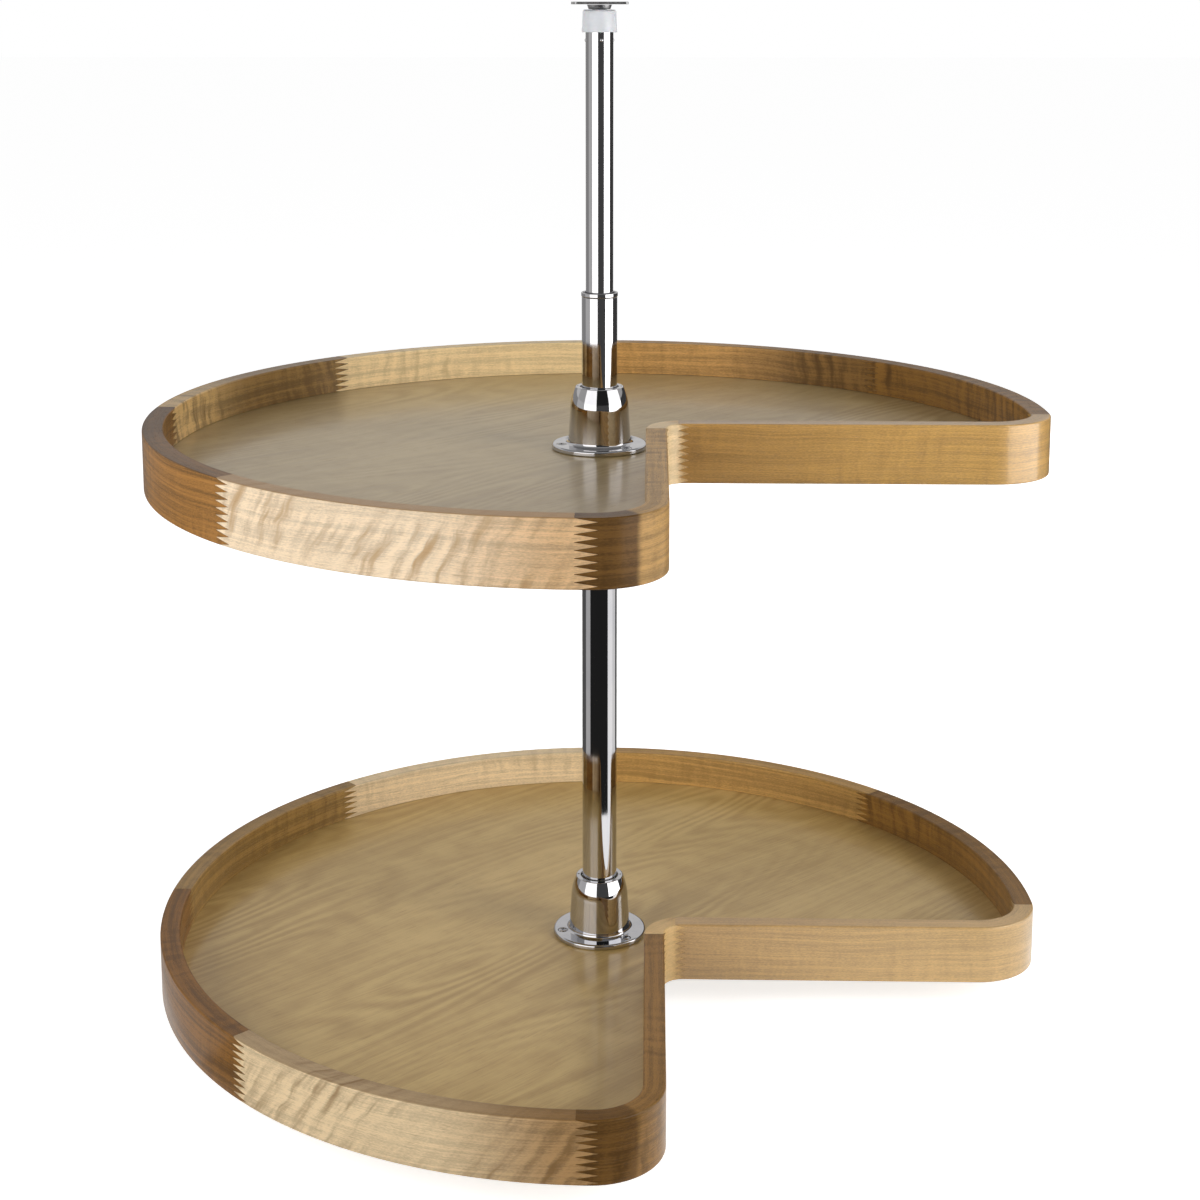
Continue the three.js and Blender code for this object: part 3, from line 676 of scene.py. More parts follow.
def ease(mesh: Mesh, parts: Sequence[Any], radius: float, affect: str = "VERTICES",
         segments: int = 4, clamp: bool = False) -> None:
    """Rounds corners or edges of a mesh.

    Args:
        mesh: The mesh, which is changed.
        parts: The corners or edges.
        radius: Radius of the rounding.
        affect: VERTICES for the corners of an outline, EDGES for the edges of a solid.
        segments: Facets of the rounding.
        clamp: Whether the rounding stops where two of them meet.
    """
    bmesh.ops.bevel(mesh, geom=parts, offset=radius, offset_type="OFFSET", affect=affect,
                    segments=segments, profile=0.5, material=-1, clamp_overlap=clamp)


def turned(profile: Sequence[Point2], rounding: float = 0.0, steps: int = 96,
           arc: float = 360.0, start: float = 0.0, sharp: Sequence[int] = ()) -> Mesh:
    """Solid of revolution about Z.

    Args:
        profile: Radius and height of each corner, as a closed outline.
        rounding: Radius of the eased corners, as far as the outline allows.
        steps: Facets round the full circle.
        arc: Degrees of the turn; less than 360 leaves a slit.
        start: Degrees of its first face from +X.
        sharp: Numbers of corners that stay sharp.

    Returns:
        The closed mesh in millimetres.
    """
    mesh = bmesh.new()
    ring_edges(mesh, [(radius, 0.0, height) for radius, height in profile])
    mesh.verts.ensure_lookup_table()
    if rounding > 0:
        eased = [v for i, v in enumerate(mesh.verts) if i not in sharp and v.co.x > NEAR_ZERO]
        ease(mesh, eased, rounding, clamp=True)
    first_turn = Matrix.Rotation(math.radians(start), 3, "Z")
    bmesh.ops.rotate(mesh, verts=mesh.verts[:], cent=(0, 0, 0), matrix=first_turn)
    whole = arc >= 360
    first = mesh.edges[:]
    spun = bmesh.ops.spin(mesh, geom=mesh.verts[:] + mesh.edges[:], cent=(0, 0, 0), axis=Z_AXIS,
                          angle=math.radians(arc), steps=max(3, round(steps * arc / 360)),
                          use_merge=whole, use_duplicate=False)
    if not whole:
        for end in (first, picked(spun["geom_last"], Edge)):
            bmesh.ops.contextual_create(mesh, geom=end)
    bmesh.ops.remove_doubles(mesh, verts=mesh.verts[:], dist=1e-4)
    bmesh.ops.recalc_face_normals(mesh, faces=mesh.faces[:])
    return mesh


def rod(radius: float, bottom: float, top: float, steps: int = 24) -> Mesh:
    """Upright cylinder about Z.

    Args:
        radius: Its radius.
        bottom: Height of its lower end.
        top: Height of its upper end.
        steps: Facets round it.

    Returns:
        The closed mesh in millimetres.
    """
    mesh = bmesh.new()
    bmesh.ops.create_cone(mesh, cap_ends=True, segments=steps, radius1=radius, radius2=radius,
                          depth=top - bottom)
    bmesh.ops.translate(mesh, verts=mesh.verts[:], vec=(0, 0, (top + bottom) / 2))
    return mesh


def bar(low: Point3, high: Point3) -> Mesh:
    """Box between two corners.

    Args:
        low: The corner with the lowest coordinates.
        high: The corner with the highest coordinates.

    Returns:
        The closed mesh in millimetres.
    """
    mesh = bmesh.new()
    bmesh.ops.create_cube(mesh, size=1.0)
    size = [b - a for a, b in zip(low, high)]
    bmesh.ops.scale(mesh, verts=mesh.verts[:], vec=size)
    bmesh.ops.translate(mesh, verts=mesh.verts[:], vec=[(a + b) / 2 for a, b in zip(low, high)])
    return mesh


def moved(mesh: Mesh, turn: float = 0.0, tilt: float = 0.0,
          by: Point3 = (0.0, 0.0, 0.0)) -> Mesh:
    """Tilts a mesh about Y, turns it about Z and then moves it.

    Args:
        mesh: The mesh, which is changed.
        turn: Degrees about Z.
        tilt: Degrees about Y.
        by: Way of the move in millimetres.

    Returns:
        The same mesh.
    """
    spin = Matrix.Rotation(math.radians(turn), 4, "Z") @ Matrix.Rotation(math.radians(tilt), 4, "Y")
    bmesh.ops.transform(mesh, matrix=Matrix.Translation(by) @ spin, verts=mesh.verts[:])
    return mesh


def square_plate(size: float, corner: float, bottom: float, top: float, edge: float) -> Mesh:
    """Square plate with rounded corners and eased edges.

    Args:
        size: Side length.
        corner: Radius of the corners.
        bottom: Height of the underside.
        top: Height of the top.
        edge: Radius of the eased edges.

    Returns:
        The closed mesh in millimetres.
    """
    mesh = bar((-size / 2, -size / 2, bottom), (size / 2, size / 2, top))
    upright = [e for e in mesh.edges if abs(e.verts[0].co.z - e.verts[1].co.z) > NEAR_ZERO]
    ease(mesh, upright, corner, "EDGES", 8)
    rims = [e for e in mesh.edges if abs(e.verts[0].co.z - e.verts[1].co.z) < NEAR_ZERO
            and len(e.link_faces) == 2 and e.calc_face_angle(0.0) > 1.0]
    ease(mesh, rims, edge, "EDGES", 3)
    return mesh


class Carve(Enum):
    """What a tool does to a body."""

    CUT = "DIFFERENCE"
    JOIN = "UNION"


def as_object(name: str, mesh: Mesh) -> bpy.types.Object:
    """Makes an object of a mesh.

    Args:
        name: The object's name.
        mesh: Its mesh in millimetres, which is used up.

    Returns:
        The object, in metres.
    """
    bmesh.ops.scale(mesh, verts=mesh.verts[:], vec=(MM, MM, MM))
    data = bpy.data.meshes.new(name)
    mesh.to_mesh(data)
    mesh.free()
    made = bpy.data.objects.new(name, data)
    bpy.context.scene.collection.objects.link(made)
    return made


def carved(body: Mesh, tools: Sequence[Tuple[Carve, Mesh]]) -> Mesh:
    """Applies tools to a body, one after the other.

    Args:
        body: The body, which is used up.
        tools: What each tool does, with its mesh, which is used up.

    Returns:
        The carved mesh in millimetres.
    """
    stock = as_object("stock", body)
    cutters = []
    for action, tool in tools:
        cutter = as_object("cutter", tool)
        cutters.append(cutter)
        step = stock.modifiers.new(action.name.lower(), "BOOLEAN")
        step.operation = action.value
        step.solver = "EXACT"
        step.object = cutter
    graph = bpy.context.evaluated_depsgraph_get()
    result = bmesh.new()
    shaped = bpy.data.meshes.new_from_object(stock.evaluated_get(graph))
    result.from_mesh(shaped)
    bpy.data.meshes.remove(shaped)
    for used in [stock, *cutters]:
        data = used.data
        bpy.data.objects.remove(used)
        bpy.data.meshes.remove(data)
    bmesh.ops.scale(result, verts=result.verts[:], vec=(1 / MM, 1 / MM, 1 / MM))
    bmesh.ops.remove_doubles(result, verts=result.verts[:], dist=1e-3)
    return result


def finish_piece(name: str, mesh: Mesh, material: bpy.types.Material,
                 body: str, nodes: Sequence[str],
                 grain: Optional[Grain] = None) -> bpy.types.Object:
    """Turns a mesh into a dressed piece that rides on its body.

    Args:
        name: The piece's name.
        mesh: Its mesh in millimetres, which is used up.
        material: Its finish.
        body: The body that it moves with.
        nodes: The nodes that it replaces.
        grain: Gives the way along, height and depth of the grain at a point in metres.

    Returns:
        The piece.
    """
    piece = as_object(name, mesh)
    data = piece.data
    data.materials.append(material)
    data.polygons.foreach_set("use_smooth", [True] * len(data.polygons))
    data.set_sharp_from_angle(angle=math.radians(SHARP_ANGLE))
    weighted = piece.modifiers.new("even_faces", "WEIGHTED_NORMAL")
    weighted.mode = "FACE_AREA"
    weighted.keep_sharp = True
    if grain is not None:
        layer = data.attributes.new("grain", "FLOAT_VECTOR", "POINT")
        values = [part for vertex in data.vertices for part in grain(vertex.co)]
        layer.data.foreach_set("vector", values)
    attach(piece, body)
    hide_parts(*nodes)
    log.info("%s: %d faces on %s", name, len(data.polygons), body)
    return piece


# -------------------- tray rims


@dataclass(frozen=True)
class RailSection:
    """Cross-section of the rim: depth behind the outer face, and height above its underside."""

    height: float = 47.0
    thickness: float = 16.0
    floor_top: float = 17.0
    floor_thickness: float = 9.0
    groove_depth: float = 6.0
    groove_gap: float = 0.3
    easing: float = 1.5

    def corners(self) -> List[Point2]:
        """Corners of the section, with the groove for the floor.

        Returns:
            Depth and height of each corner.
        """
        low = self.floor_top - self.floor_thickness - self.groove_gap
        high = self.floor_top + self.groove_gap
        inner = self.thickness
        back = self.thickness - self.groove_depth
        return [(0, 0), (inner, 0), (inner, low), (back, low), (back, high), (inner, high),
                (inner, self.height), (0, self.height)]

    def is_eased(self, depth: float, height: float) -> bool:
        """Whether a corner is one of the four eased ones."""
        return depth in (0, self.thickness) and height in (0, self.height)


@dataclass(frozen=True)
class Straight:
    """A straight stretch of rim."""

    length: float


@dataclass(frozen=True)
class Bend:
    """A bent stretch of rim round a centre, in degrees, anticlockwise seen from above."""

    centre: Point2
    degrees: float


Stretch = Union[Straight, Bend]


@dataclass(frozen=True)
class FingerJoint:
    """A finger joint across the rim: its middle, its heading in degrees and its length."""

    place: Point2
    heading: float
    length: float
    fingers: int = 9
    gap: float = 0.06
    root_gap: float = 0.24

    def cutter(self, section: RailSection, ends_here: bool, bottom: float) -> Mesh:
        """Wood that the joint takes from one of its two segments.

        Args:
            section: The rim's section.
            ends_here: Whether the segment ends at the joint, or starts at it.
            bottom: Height of the rim's underside.

        Returns:
            The cutter in millimetres.
        """
        pitch = section.height / self.fingers
        side = 1 if ends_here else -1
        tip = (self.length - self.gap) / 2 * side
        root = -(self.length + self.gap) / 2 * side
        shift = 0.0 if ends_here else pitch / 2
        outline: List[Point2] = []
        for finger in range(-1, self.fingers + 1):
            low = finger * pitch + shift
            outline.append((root, low + self.root_gap / 2))
            outline.append((tip, low + pitch / 2))
            outline.append((root, low + pitch - self.root_gap / 2))
        reach = (self.length / 2 + section.thickness) * side
        outline.append((reach, outline[-1][1]))
        outline.append((reach, outline[0][1]))
        mesh = bmesh.new()
        depth = section.thickness * 0.8
        face = mesh.faces.new([mesh.verts.new((x, -depth, z)) for x, z in outline])
        swept = bmesh.ops.extrude_face_region(mesh, geom=[face], use_keep_orig=True)
        bmesh.ops.translate(mesh, verts=picked(swept["geom"], Vert), vec=(0, 2 * depth, 0))
        bmesh.ops.recalc_face_normals(mesh, faces=mesh.faces[:])
        return moved(mesh, turn=self.heading, by=(self.place[0], self.place[1], bottom))


@dataclass(frozen=True)
class Kidney:
    """Plan of a tray: a circle with a rounded square notch."""

    radius: float = 355.6
    notch: float = 53.0
    notch_radius: float = 15.0
    corner_radius: float = 50.8
    finger_length: float = 15.0
    short_finger_length: float = 8.0
    wall_joint: float = 66.0
    spare: float = 0.5
    section: RailSection = field(default_factory=RailSection)

    @property
    def drop(self) -> float:
        """Way of a convex corner's centre across its wall."""
        return self.notch - self.corner_radius

    @property
    def reach(self) -> float:
        """Way of a convex corner's centre along its wall."""
        return math.sqrt((self.radius - self.corner_radius) ** 2 - self.drop ** 2)

    @property
    def slope(self) -> float:
        """Degrees by which the big arc runs past its quarter before the corner starts."""
        return math.degrees(math.atan2(self.drop, self.reach))

    @property
    def middle(self) -> float:
        """Radius of the rim's middle line on the big arc."""
        return self.radius - self.section.thickness / 2

    def rim_point(self, angle: float) -> Point2:
        """Point on the outer face of the big arc."""
        turn = math.radians(angle)
        return (self.radius * math.cos(turn), self.radius * math.sin(turn))

    def arc_joint(self, angle: float) -> FingerJoint:
        """Joint across the big arc.

        Args:
            angle: Its place in degrees.

        Returns:
            The joint.
        """
        turn = math.radians(angle)
        place = (self.middle * math.cos(turn), self.middle * math.sin(turn))
        return FingerJoint(place, angle + 90, self.finger_length)

    def wall_joints(self) -> Tuple[FingerJoint, FingerJoint]:
        """Joints beside the notch corner.

        Returns:
            The joint on the front wall and the one on the right wall.
        """
        inner = self.notch - self.section.thickness / 2
        front = FingerJoint((inner, -self.wall_joint), 90, self.short_finger_length)
        right = FingerJoint((self.wall_joint, -inner), 0, self.short_finger_length)
        return front, right

    def arc_grain(self, middle_angle: float, point: Vector) -> Point3:
        """Grain of an arc segment.

        Args:
            middle_angle: Angle of the segment's middle, from which the way along is counted.
            point: A point in metres.

        Returns:
            The way along, height and depth at the point, in metres.
        """
        radius = math.hypot(point.x, point.y)
        angle = math.atan2(point.y, point.x) - math.radians(middle_angle)
        angle = (angle + math.pi) % (2 * math.pi) - math.pi
        return angle * self.middle * MM, point.z, self.radius * MM - radius

    def wall_grain(self, mirrored: bool, point: Vector) -> Point3:
        """Grain of a wall with its convex corner.

        Args:
            mirrored: Whether it is the right wall, which mirrors the front wall.
            point: A point in metres.

        Returns:
            The way along, height and depth at the point, in metres.
        """
        x, y = (-point.y / MM, -point.x / MM) if mirrored else (point.x / MM, point.y / MM)
        if y > -self.reach:
            return (y + self.reach) * MM, point.z, (self.notch - x) * MM
        radius = math.hypot(x - self.drop, y + self.reach)
        angle = math.atan2(y + self.reach, x - self.drop)
        width = self.corner_radius - self.section.thickness / 2
        return angle * width * MM, point.z, (self.corner_radius - radius) * MM

    @staticmethod
    def notch_grain(point: Vector) -> Point3:
        """Grain of the notch corner block, which runs straight through it on the diagonal."""
        return (point.x + point.y) * DIAGONAL, point.z, (point.x - point.y) * DIAGONAL


ARC_STEP = 1.5
CORNER_STEP = 6.0


def swept_rail(section: RailSection, start: Point2, heading: float, stretches: Sequence[Stretch],
               bottom: float) -> Mesh:
    """Sweeps the rim's section along stretches that follow each other.

    Args:
        section: The section.
        start: Point on the outer face where the sweep starts.
        heading: Its heading in degrees.
        stretches: The straight and bent stretches in their order.
        bottom: Height of the rim's underside.

    Returns:
        The closed mesh in millimetres.
    """
    mesh = bmesh.new()
    turn = math.radians(heading - 90)
    outward = Vector((math.cos(turn), math.sin(turn), 0))
    origin = Vector((start[0], start[1], bottom))
    corners = section.corners()
    ring_edges(mesh, [tuple(origin - outward * depth + Vector((0, 0, height)))
                      for depth, height in corners])
    mesh.verts.ensure_lookup_table()
    eased = [mesh.verts[i] for i, corner in enumerate(corners) if section.is_eased(*corner)]
    ease(mesh, eased, section.easing)
    first = last = mesh.edges[:]
    course = math.radians(heading)
    for stretch in stretches:
        if isinstance(stretch, Straight):
            grown = bmesh.ops.extrude_edge_only(mesh, edges=last)
            verts = picked(grown["geom"], Vert)
            way = Vector((math.cos(course), math.sin(course), 0)) * stretch.length
            bmesh.ops.translate(mesh, verts=verts, vec=way)
            last = [e for e in picked(grown["geom"], Edge) if all(v in verts for v in e.verts)]
        else:
            step = ARC_STEP if stretch.centre == (0.0, 0.0) else CORNER_STEP
            steps = max(1, round(abs(stretch.degrees) / step))
            verts = list(dict.fromkeys(v for e in last for v in e.verts))
            spun = bmesh.ops.spin(mesh, geom=verts + last, cent=(*stretch.centre, 0), axis=Z_AXIS,
                                  angle=math.radians(stretch.degrees), steps=steps,
                                  use_merge=False, use_duplicate=False)
            last = picked(spun["geom_last"], Edge)
            course += math.radians(stretch.degrees)
    for end in (first, last):
        bmesh.ops.contextual_create(mesh, geom=end)
    bmesh.ops.recalc_face_normals(mesh, faces=mesh.faces[:])
    return mesh


# -------------------- trays


@dataclass
class Tray:
    """One tier: its rim, floor, hub, bearing and the collar that carries it."""

    tier: str
    floor_top: float
    palette: Palette
    boards: Mapping[Segment, Board]
    veneer: Tuple[Colour, Colour, Colour]
    plan: Kidney = field(default_factory=Kidney)
    hub_height: float = 49.5
    flange_radius: float = 38.0
    flange_thickness: float = 4.0
    flange_easing: float = 1.8
    tool_hole_radius: float = 0.85
    tool_hole_place: float = 17.2
    pole_clear: float = 14.3
    floor_thickness: float = 9.0
    washer_thickness: float = 2.0
    collar_height: float = 14.0
    seat: float = 0.3
    screw_circle: float = 31.0
    screw_angles: Tuple[float, float, float] = (-45.0, 75.0, 195.0)
    set_screw_angle: float = 135.0

    @property
    def bottom(self) -> float:
        """Height of the rim's underside."""
        return self.floor_top - self.plan.section.floor_top

    @property
    def body(self) -> str:
        """Body of the turning tray."""
        return f"{self.tier}_tray"

    def build(self) -> None:
        """Makes and dresses every piece of the tier."""
        self.rim()
        self.floor()
        self.hub()
        self.screws()
        self.bearing()
        self.support()

    def _piece(self, name: str, mesh: Mesh, metal: Metal, body: str, node: str) -> None:
        """Dresses a piece of metal or nylon and puts it on a body of its tier."""
        finish_piece(f"{self.tier}_{name}", mesh, self.palette.hard[metal],
                     f"{self.tier}_{body}", [f"{self.tier}_{node}"])

    def _rail(self, segment: Segment, mesh: Mesh, start: FingerJoint, end: FingerJoint,
              grain: Grain) -> None:
        """Cuts the fingers of a segment and dresses it.

        Args:
            segment: The segment.
            mesh: Its mesh, longer than the segment, which is used up.
            start: Joint at its start.
            end: Joint at its end.
            grain: Way along, height and depth of its grain at a point.
        """
        section = self.plan.section
        name = f"{self.tier}_{segment.value.replace('rim', 'rail')}"
        seed = 3.7 * (1 + list(Segment).index(segment)) + self.floor_top * MM * 50
        board = replace(self.boards[segment], name=f"{name}_wood", seed=seed)
        tools = [(Carve.CUT, start.cutter(section, False, self.bottom)),
                 (Carve.CUT, end.cutter(section, True, self.bottom))]
        finish_piece(name, carved(mesh, tools), board.make(), self.body,
                     [f"{self.tier}_{segment.value}"], grain)

    def rim(self) -> None:
        """The nine segments of the rim."""
        plan = self.plan
        section = plan.section
        span = 270 / len(ARCS)
        past = plan.finger_length / 2 + plan.spare
        extra = math.degrees(past / (plan.radius - section.thickness))
        for number, segment in enumerate(ARCS):
            angle = number * span
            mesh = swept_rail(section, plan.rim_point(angle - extra), angle - extra + 90,
                              [Bend((0.0, 0.0), span + 2 * extra)], self.bottom)
            self._rail(segment, mesh, plan.arc_joint(angle), plan.arc_joint(angle + span),
                       partial(plan.arc_grain, angle + span / 2))
        front_joint, right_joint = plan.wall_joints()
        past = plan.short_finger_length / 2 + plan.spare
        centre = plan.notch + plan.notch_radius
        curl = math.degrees(math.asin((centre - plan.wall_joint + past) / plan.notch_radius))
        inwards = Bend((centre, -centre), -curl)
        run = Straight(plan.reach - centre)
        stretches = [Bend((0.0, 0.0), extra + plan.slope),
                     Bend((plan.drop, -plan.reach), 90 - plan.slope), run, inwards]
        mesh = swept_rail(section, plan.rim_point(270 - extra), -extra, stretches, self.bottom)
        self._rail(Segment.FRONT_WALL, mesh, plan.arc_joint(270), front_joint,
                   partial(plan.wall_grain, False))
        turn = math.radians(90 + curl)
        start = (centre + plan.notch_radius * math.cos(turn),
                 -centre + plan.notch_radius * math.sin(turn))
        stretches = [inwards, run, Bend((plan.reach, -plan.drop), 90 - plan.slope),
                     Bend((0.0, 0.0), plan.slope + extra)]
        mesh = swept_rail(section, start, curl, stretches, self.bottom)
        self._rail(Segment.RIGHT_WALL, mesh, right_joint, plan.arc_joint(0),
                   partial(plan.wall_grain, True))
        tail = Straight(plan.wall_joint - centre + past)
        mesh = swept_rail(section, (plan.notch, -centre - tail.length), 90,
                          [tail, Bend((centre, -centre), -90), tail], self.bottom)
        self._rail(Segment.NOTCH, mesh, front_joint, right_joint, plan.notch_grain)

    def floor(self) -> None:
        """Dresses the plywood floor, whose own solid stays."""
        light, dark, pore = self.veneer
        finish = VeneerPly(f"{self.tier}_veneer_ply", light, dark, pore, self.floor_top * MM,
                           self.floor_thickness * MM, self.floor_top * MM * 7)
        panel = bpy.data.objects[f"{self.tier}_floor"]
        material = finish.make()
        if not panel.material_slots:
            panel.data.materials.append(material)
        for place in panel.material_slots:
            place.material = material

    def hub(self) -> None:
        """Chromed bell with its flange, countersunk screw holes and two small tool holes."""
        base = self.floor_top + self.seat
        top = self.flange_thickness
        easing = self.flange_easing
        rim = self.flange_radius - easing
        edge = [(rim + easing * math.sin(turn), top - easing + easing * math.cos(turn))
                for turn in map(math.radians, (90, 72, 54, 36, 18, 0))]
        flange = [(20.0, 0.0), (self.flange_radius, 0.0), *edge, (27.4, top), (25.9, top + 0.35),
                  (25.0, top + 1.3), (24.7, top + 3.0)]
        wall = self._bell_wall()
        inside = [(15.2, self.hub_height), (15.2, 47.0), (18.4, 46.4), (21.3, 34.0),
                  (21.3, 7.3), (20.0, 7.3)]
        outline = flange + wall + inside
        smooth = range(2, len(flange) + len(wall) - 1)
        profile = [(radius, base + height) for radius, height in outline]
        mesh = turned(profile, 0.5, 128, sharp=smooth)
        tools = []
        for angle in self.screw_angles:
            sink = turned([(0, top + 1.2), (5.4, top + 1.2), (2.3, top - 2.6), (2.3, -0.5),
                           (0, -0.5)], 0, 32)
            tools.append((Carve.CUT, moved(sink, by=self._screw_place(angle, base))))
        for side in (-1, 1):
            place = (side * self.tool_hole_place, 0, base + self.hub_height - 1.6)
            tools.append((Carve.CUT, moved(rod(self.tool_hole_radius, 0, 3), by=place)))
        self._piece("bell_hub", carved(mesh, tools), Metal.CHROME, "tray", "hub")

    def _bell_wall(self) -> List[Point2]:
        """Outer wall of the bell: a nearly straight skirt that bends in towards its top.

        Returns:
            Radius and height of its points, from the skirt to the top edge.
        """
        radius, height = 23.3, 32.0
        tilt, bend = 3.1, 1.2
        step = 1.5
        points = [(radius, height)]
        while height < self.hub_height - 1.1:
            tilt += 0.6 * bend * step
            radius -= step * math.tan(math.radians(tilt))
            tilt += 0.4 * bend * step
            height += step
            points.append((radius, height))
        points.append((radius - 0.35, self.hub_height))
        return points

    def _screw_place(self, angle: float, height: float) -> Point3:
        """Place of a flange screw at a height."""
        turn = math.radians(angle)
        return (self.screw_circle * math.cos(turn), self.screw_circle * math.sin(turn), height)

    def screws(self) -> None:
        """Countersunk flange screws with a cross recess."""
        top = self.flange_thickness
        for number, angle in enumerate(self.screw_angles):
            profile = [(0, top - 11), (1.9, top - 8.4), (1.9, top - 2), (3.7, top - 0.3),
                       (3.7, top - 0.05), (2.6, top + 0.3), (0, top + 0.5)]
            slots = [moved(bar((-0.5, -2.1, top - 1.9), (0.5, 2.1, top + 1)), turn=turn)
                     for turn in (0, 90)]
            mesh = carved(turned(profile, 0.12, 32), [(Carve.CUT, slot) for slot in slots])
            place = self._screw_place(angle, self.floor_top + self.seat)
            moved(mesh, turn=20 + 35 * number, by=place)
            self._piece(f"cross_screw_{number + 1}", mesh, Metal.CHROME, "tray",
                        f"flange_screw_{number + 1}")

    def bearing(self) -> None:
        """Nylon bearing inside the hub."""
        clear = self.pole_clear
        profile = [(clear, -self.floor_thickness), (19.7, -self.floor_thickness), (19.7, 7.0),
                   (17.0, 7.0), (17.0, 39.7), (18.0, 39.7), (18.0, 46.4), (14.9, 46.4),
                   (14.9, 48.6), (clear, 48.6)]
        mesh = turned([(radius, self.floor_top + height) for radius, height in profile], 0.25, 72)
        self._piece("hub_bearing", mesh, Metal.NATURAL_NYLON, "tray", "bearing")

    def support(self) -> None:
        """Thrust washer, steel collar and its set screw below the floor."""
        top = self.floor_top - self.floor_thickness - self.seat
        clear = self.pole_clear
        low = top - self.washer_thickness
        washer = turned([(clear, low), (26, low), (26, top), (clear, top)], 0.3, 96)
        self._piece("slide_washer", washer, Metal.WHITE_NYLON, "collar", "thrust_washer")
        top = low - self.seat
        low = top - self.collar_height
        middle = (0, 0, (top + low) / 2)
        ring = turned([(clear, low), (24, low), (24, top), (clear, top)], 0.7, 96)
        hole = moved(rod(3.3, 0, 30), tilt=90, turn=self.set_screw_angle, by=middle)
        collar = carved(ring, [(Carve.CUT, hole)])
        self._piece("clamp_collar", collar, Metal.ZINC, "collar", "collar")
        screw = turned([(0, clear), (2.2, clear), (3.0, clear + 0.8), (3.0, 22.2), (2.6, 22.9),
                        (0, 22.9)], 0.1, 32)
        mesh = carved(screw, [(Carve.CUT, rod(1.5, 19.9, 24, 6))])
        moved(mesh, tilt=90, turn=self.set_screw_angle, by=middle)
        self._piece("grub_screw", mesh, Metal.BLACK, "collar", "set_screw")


# -------------------- pole


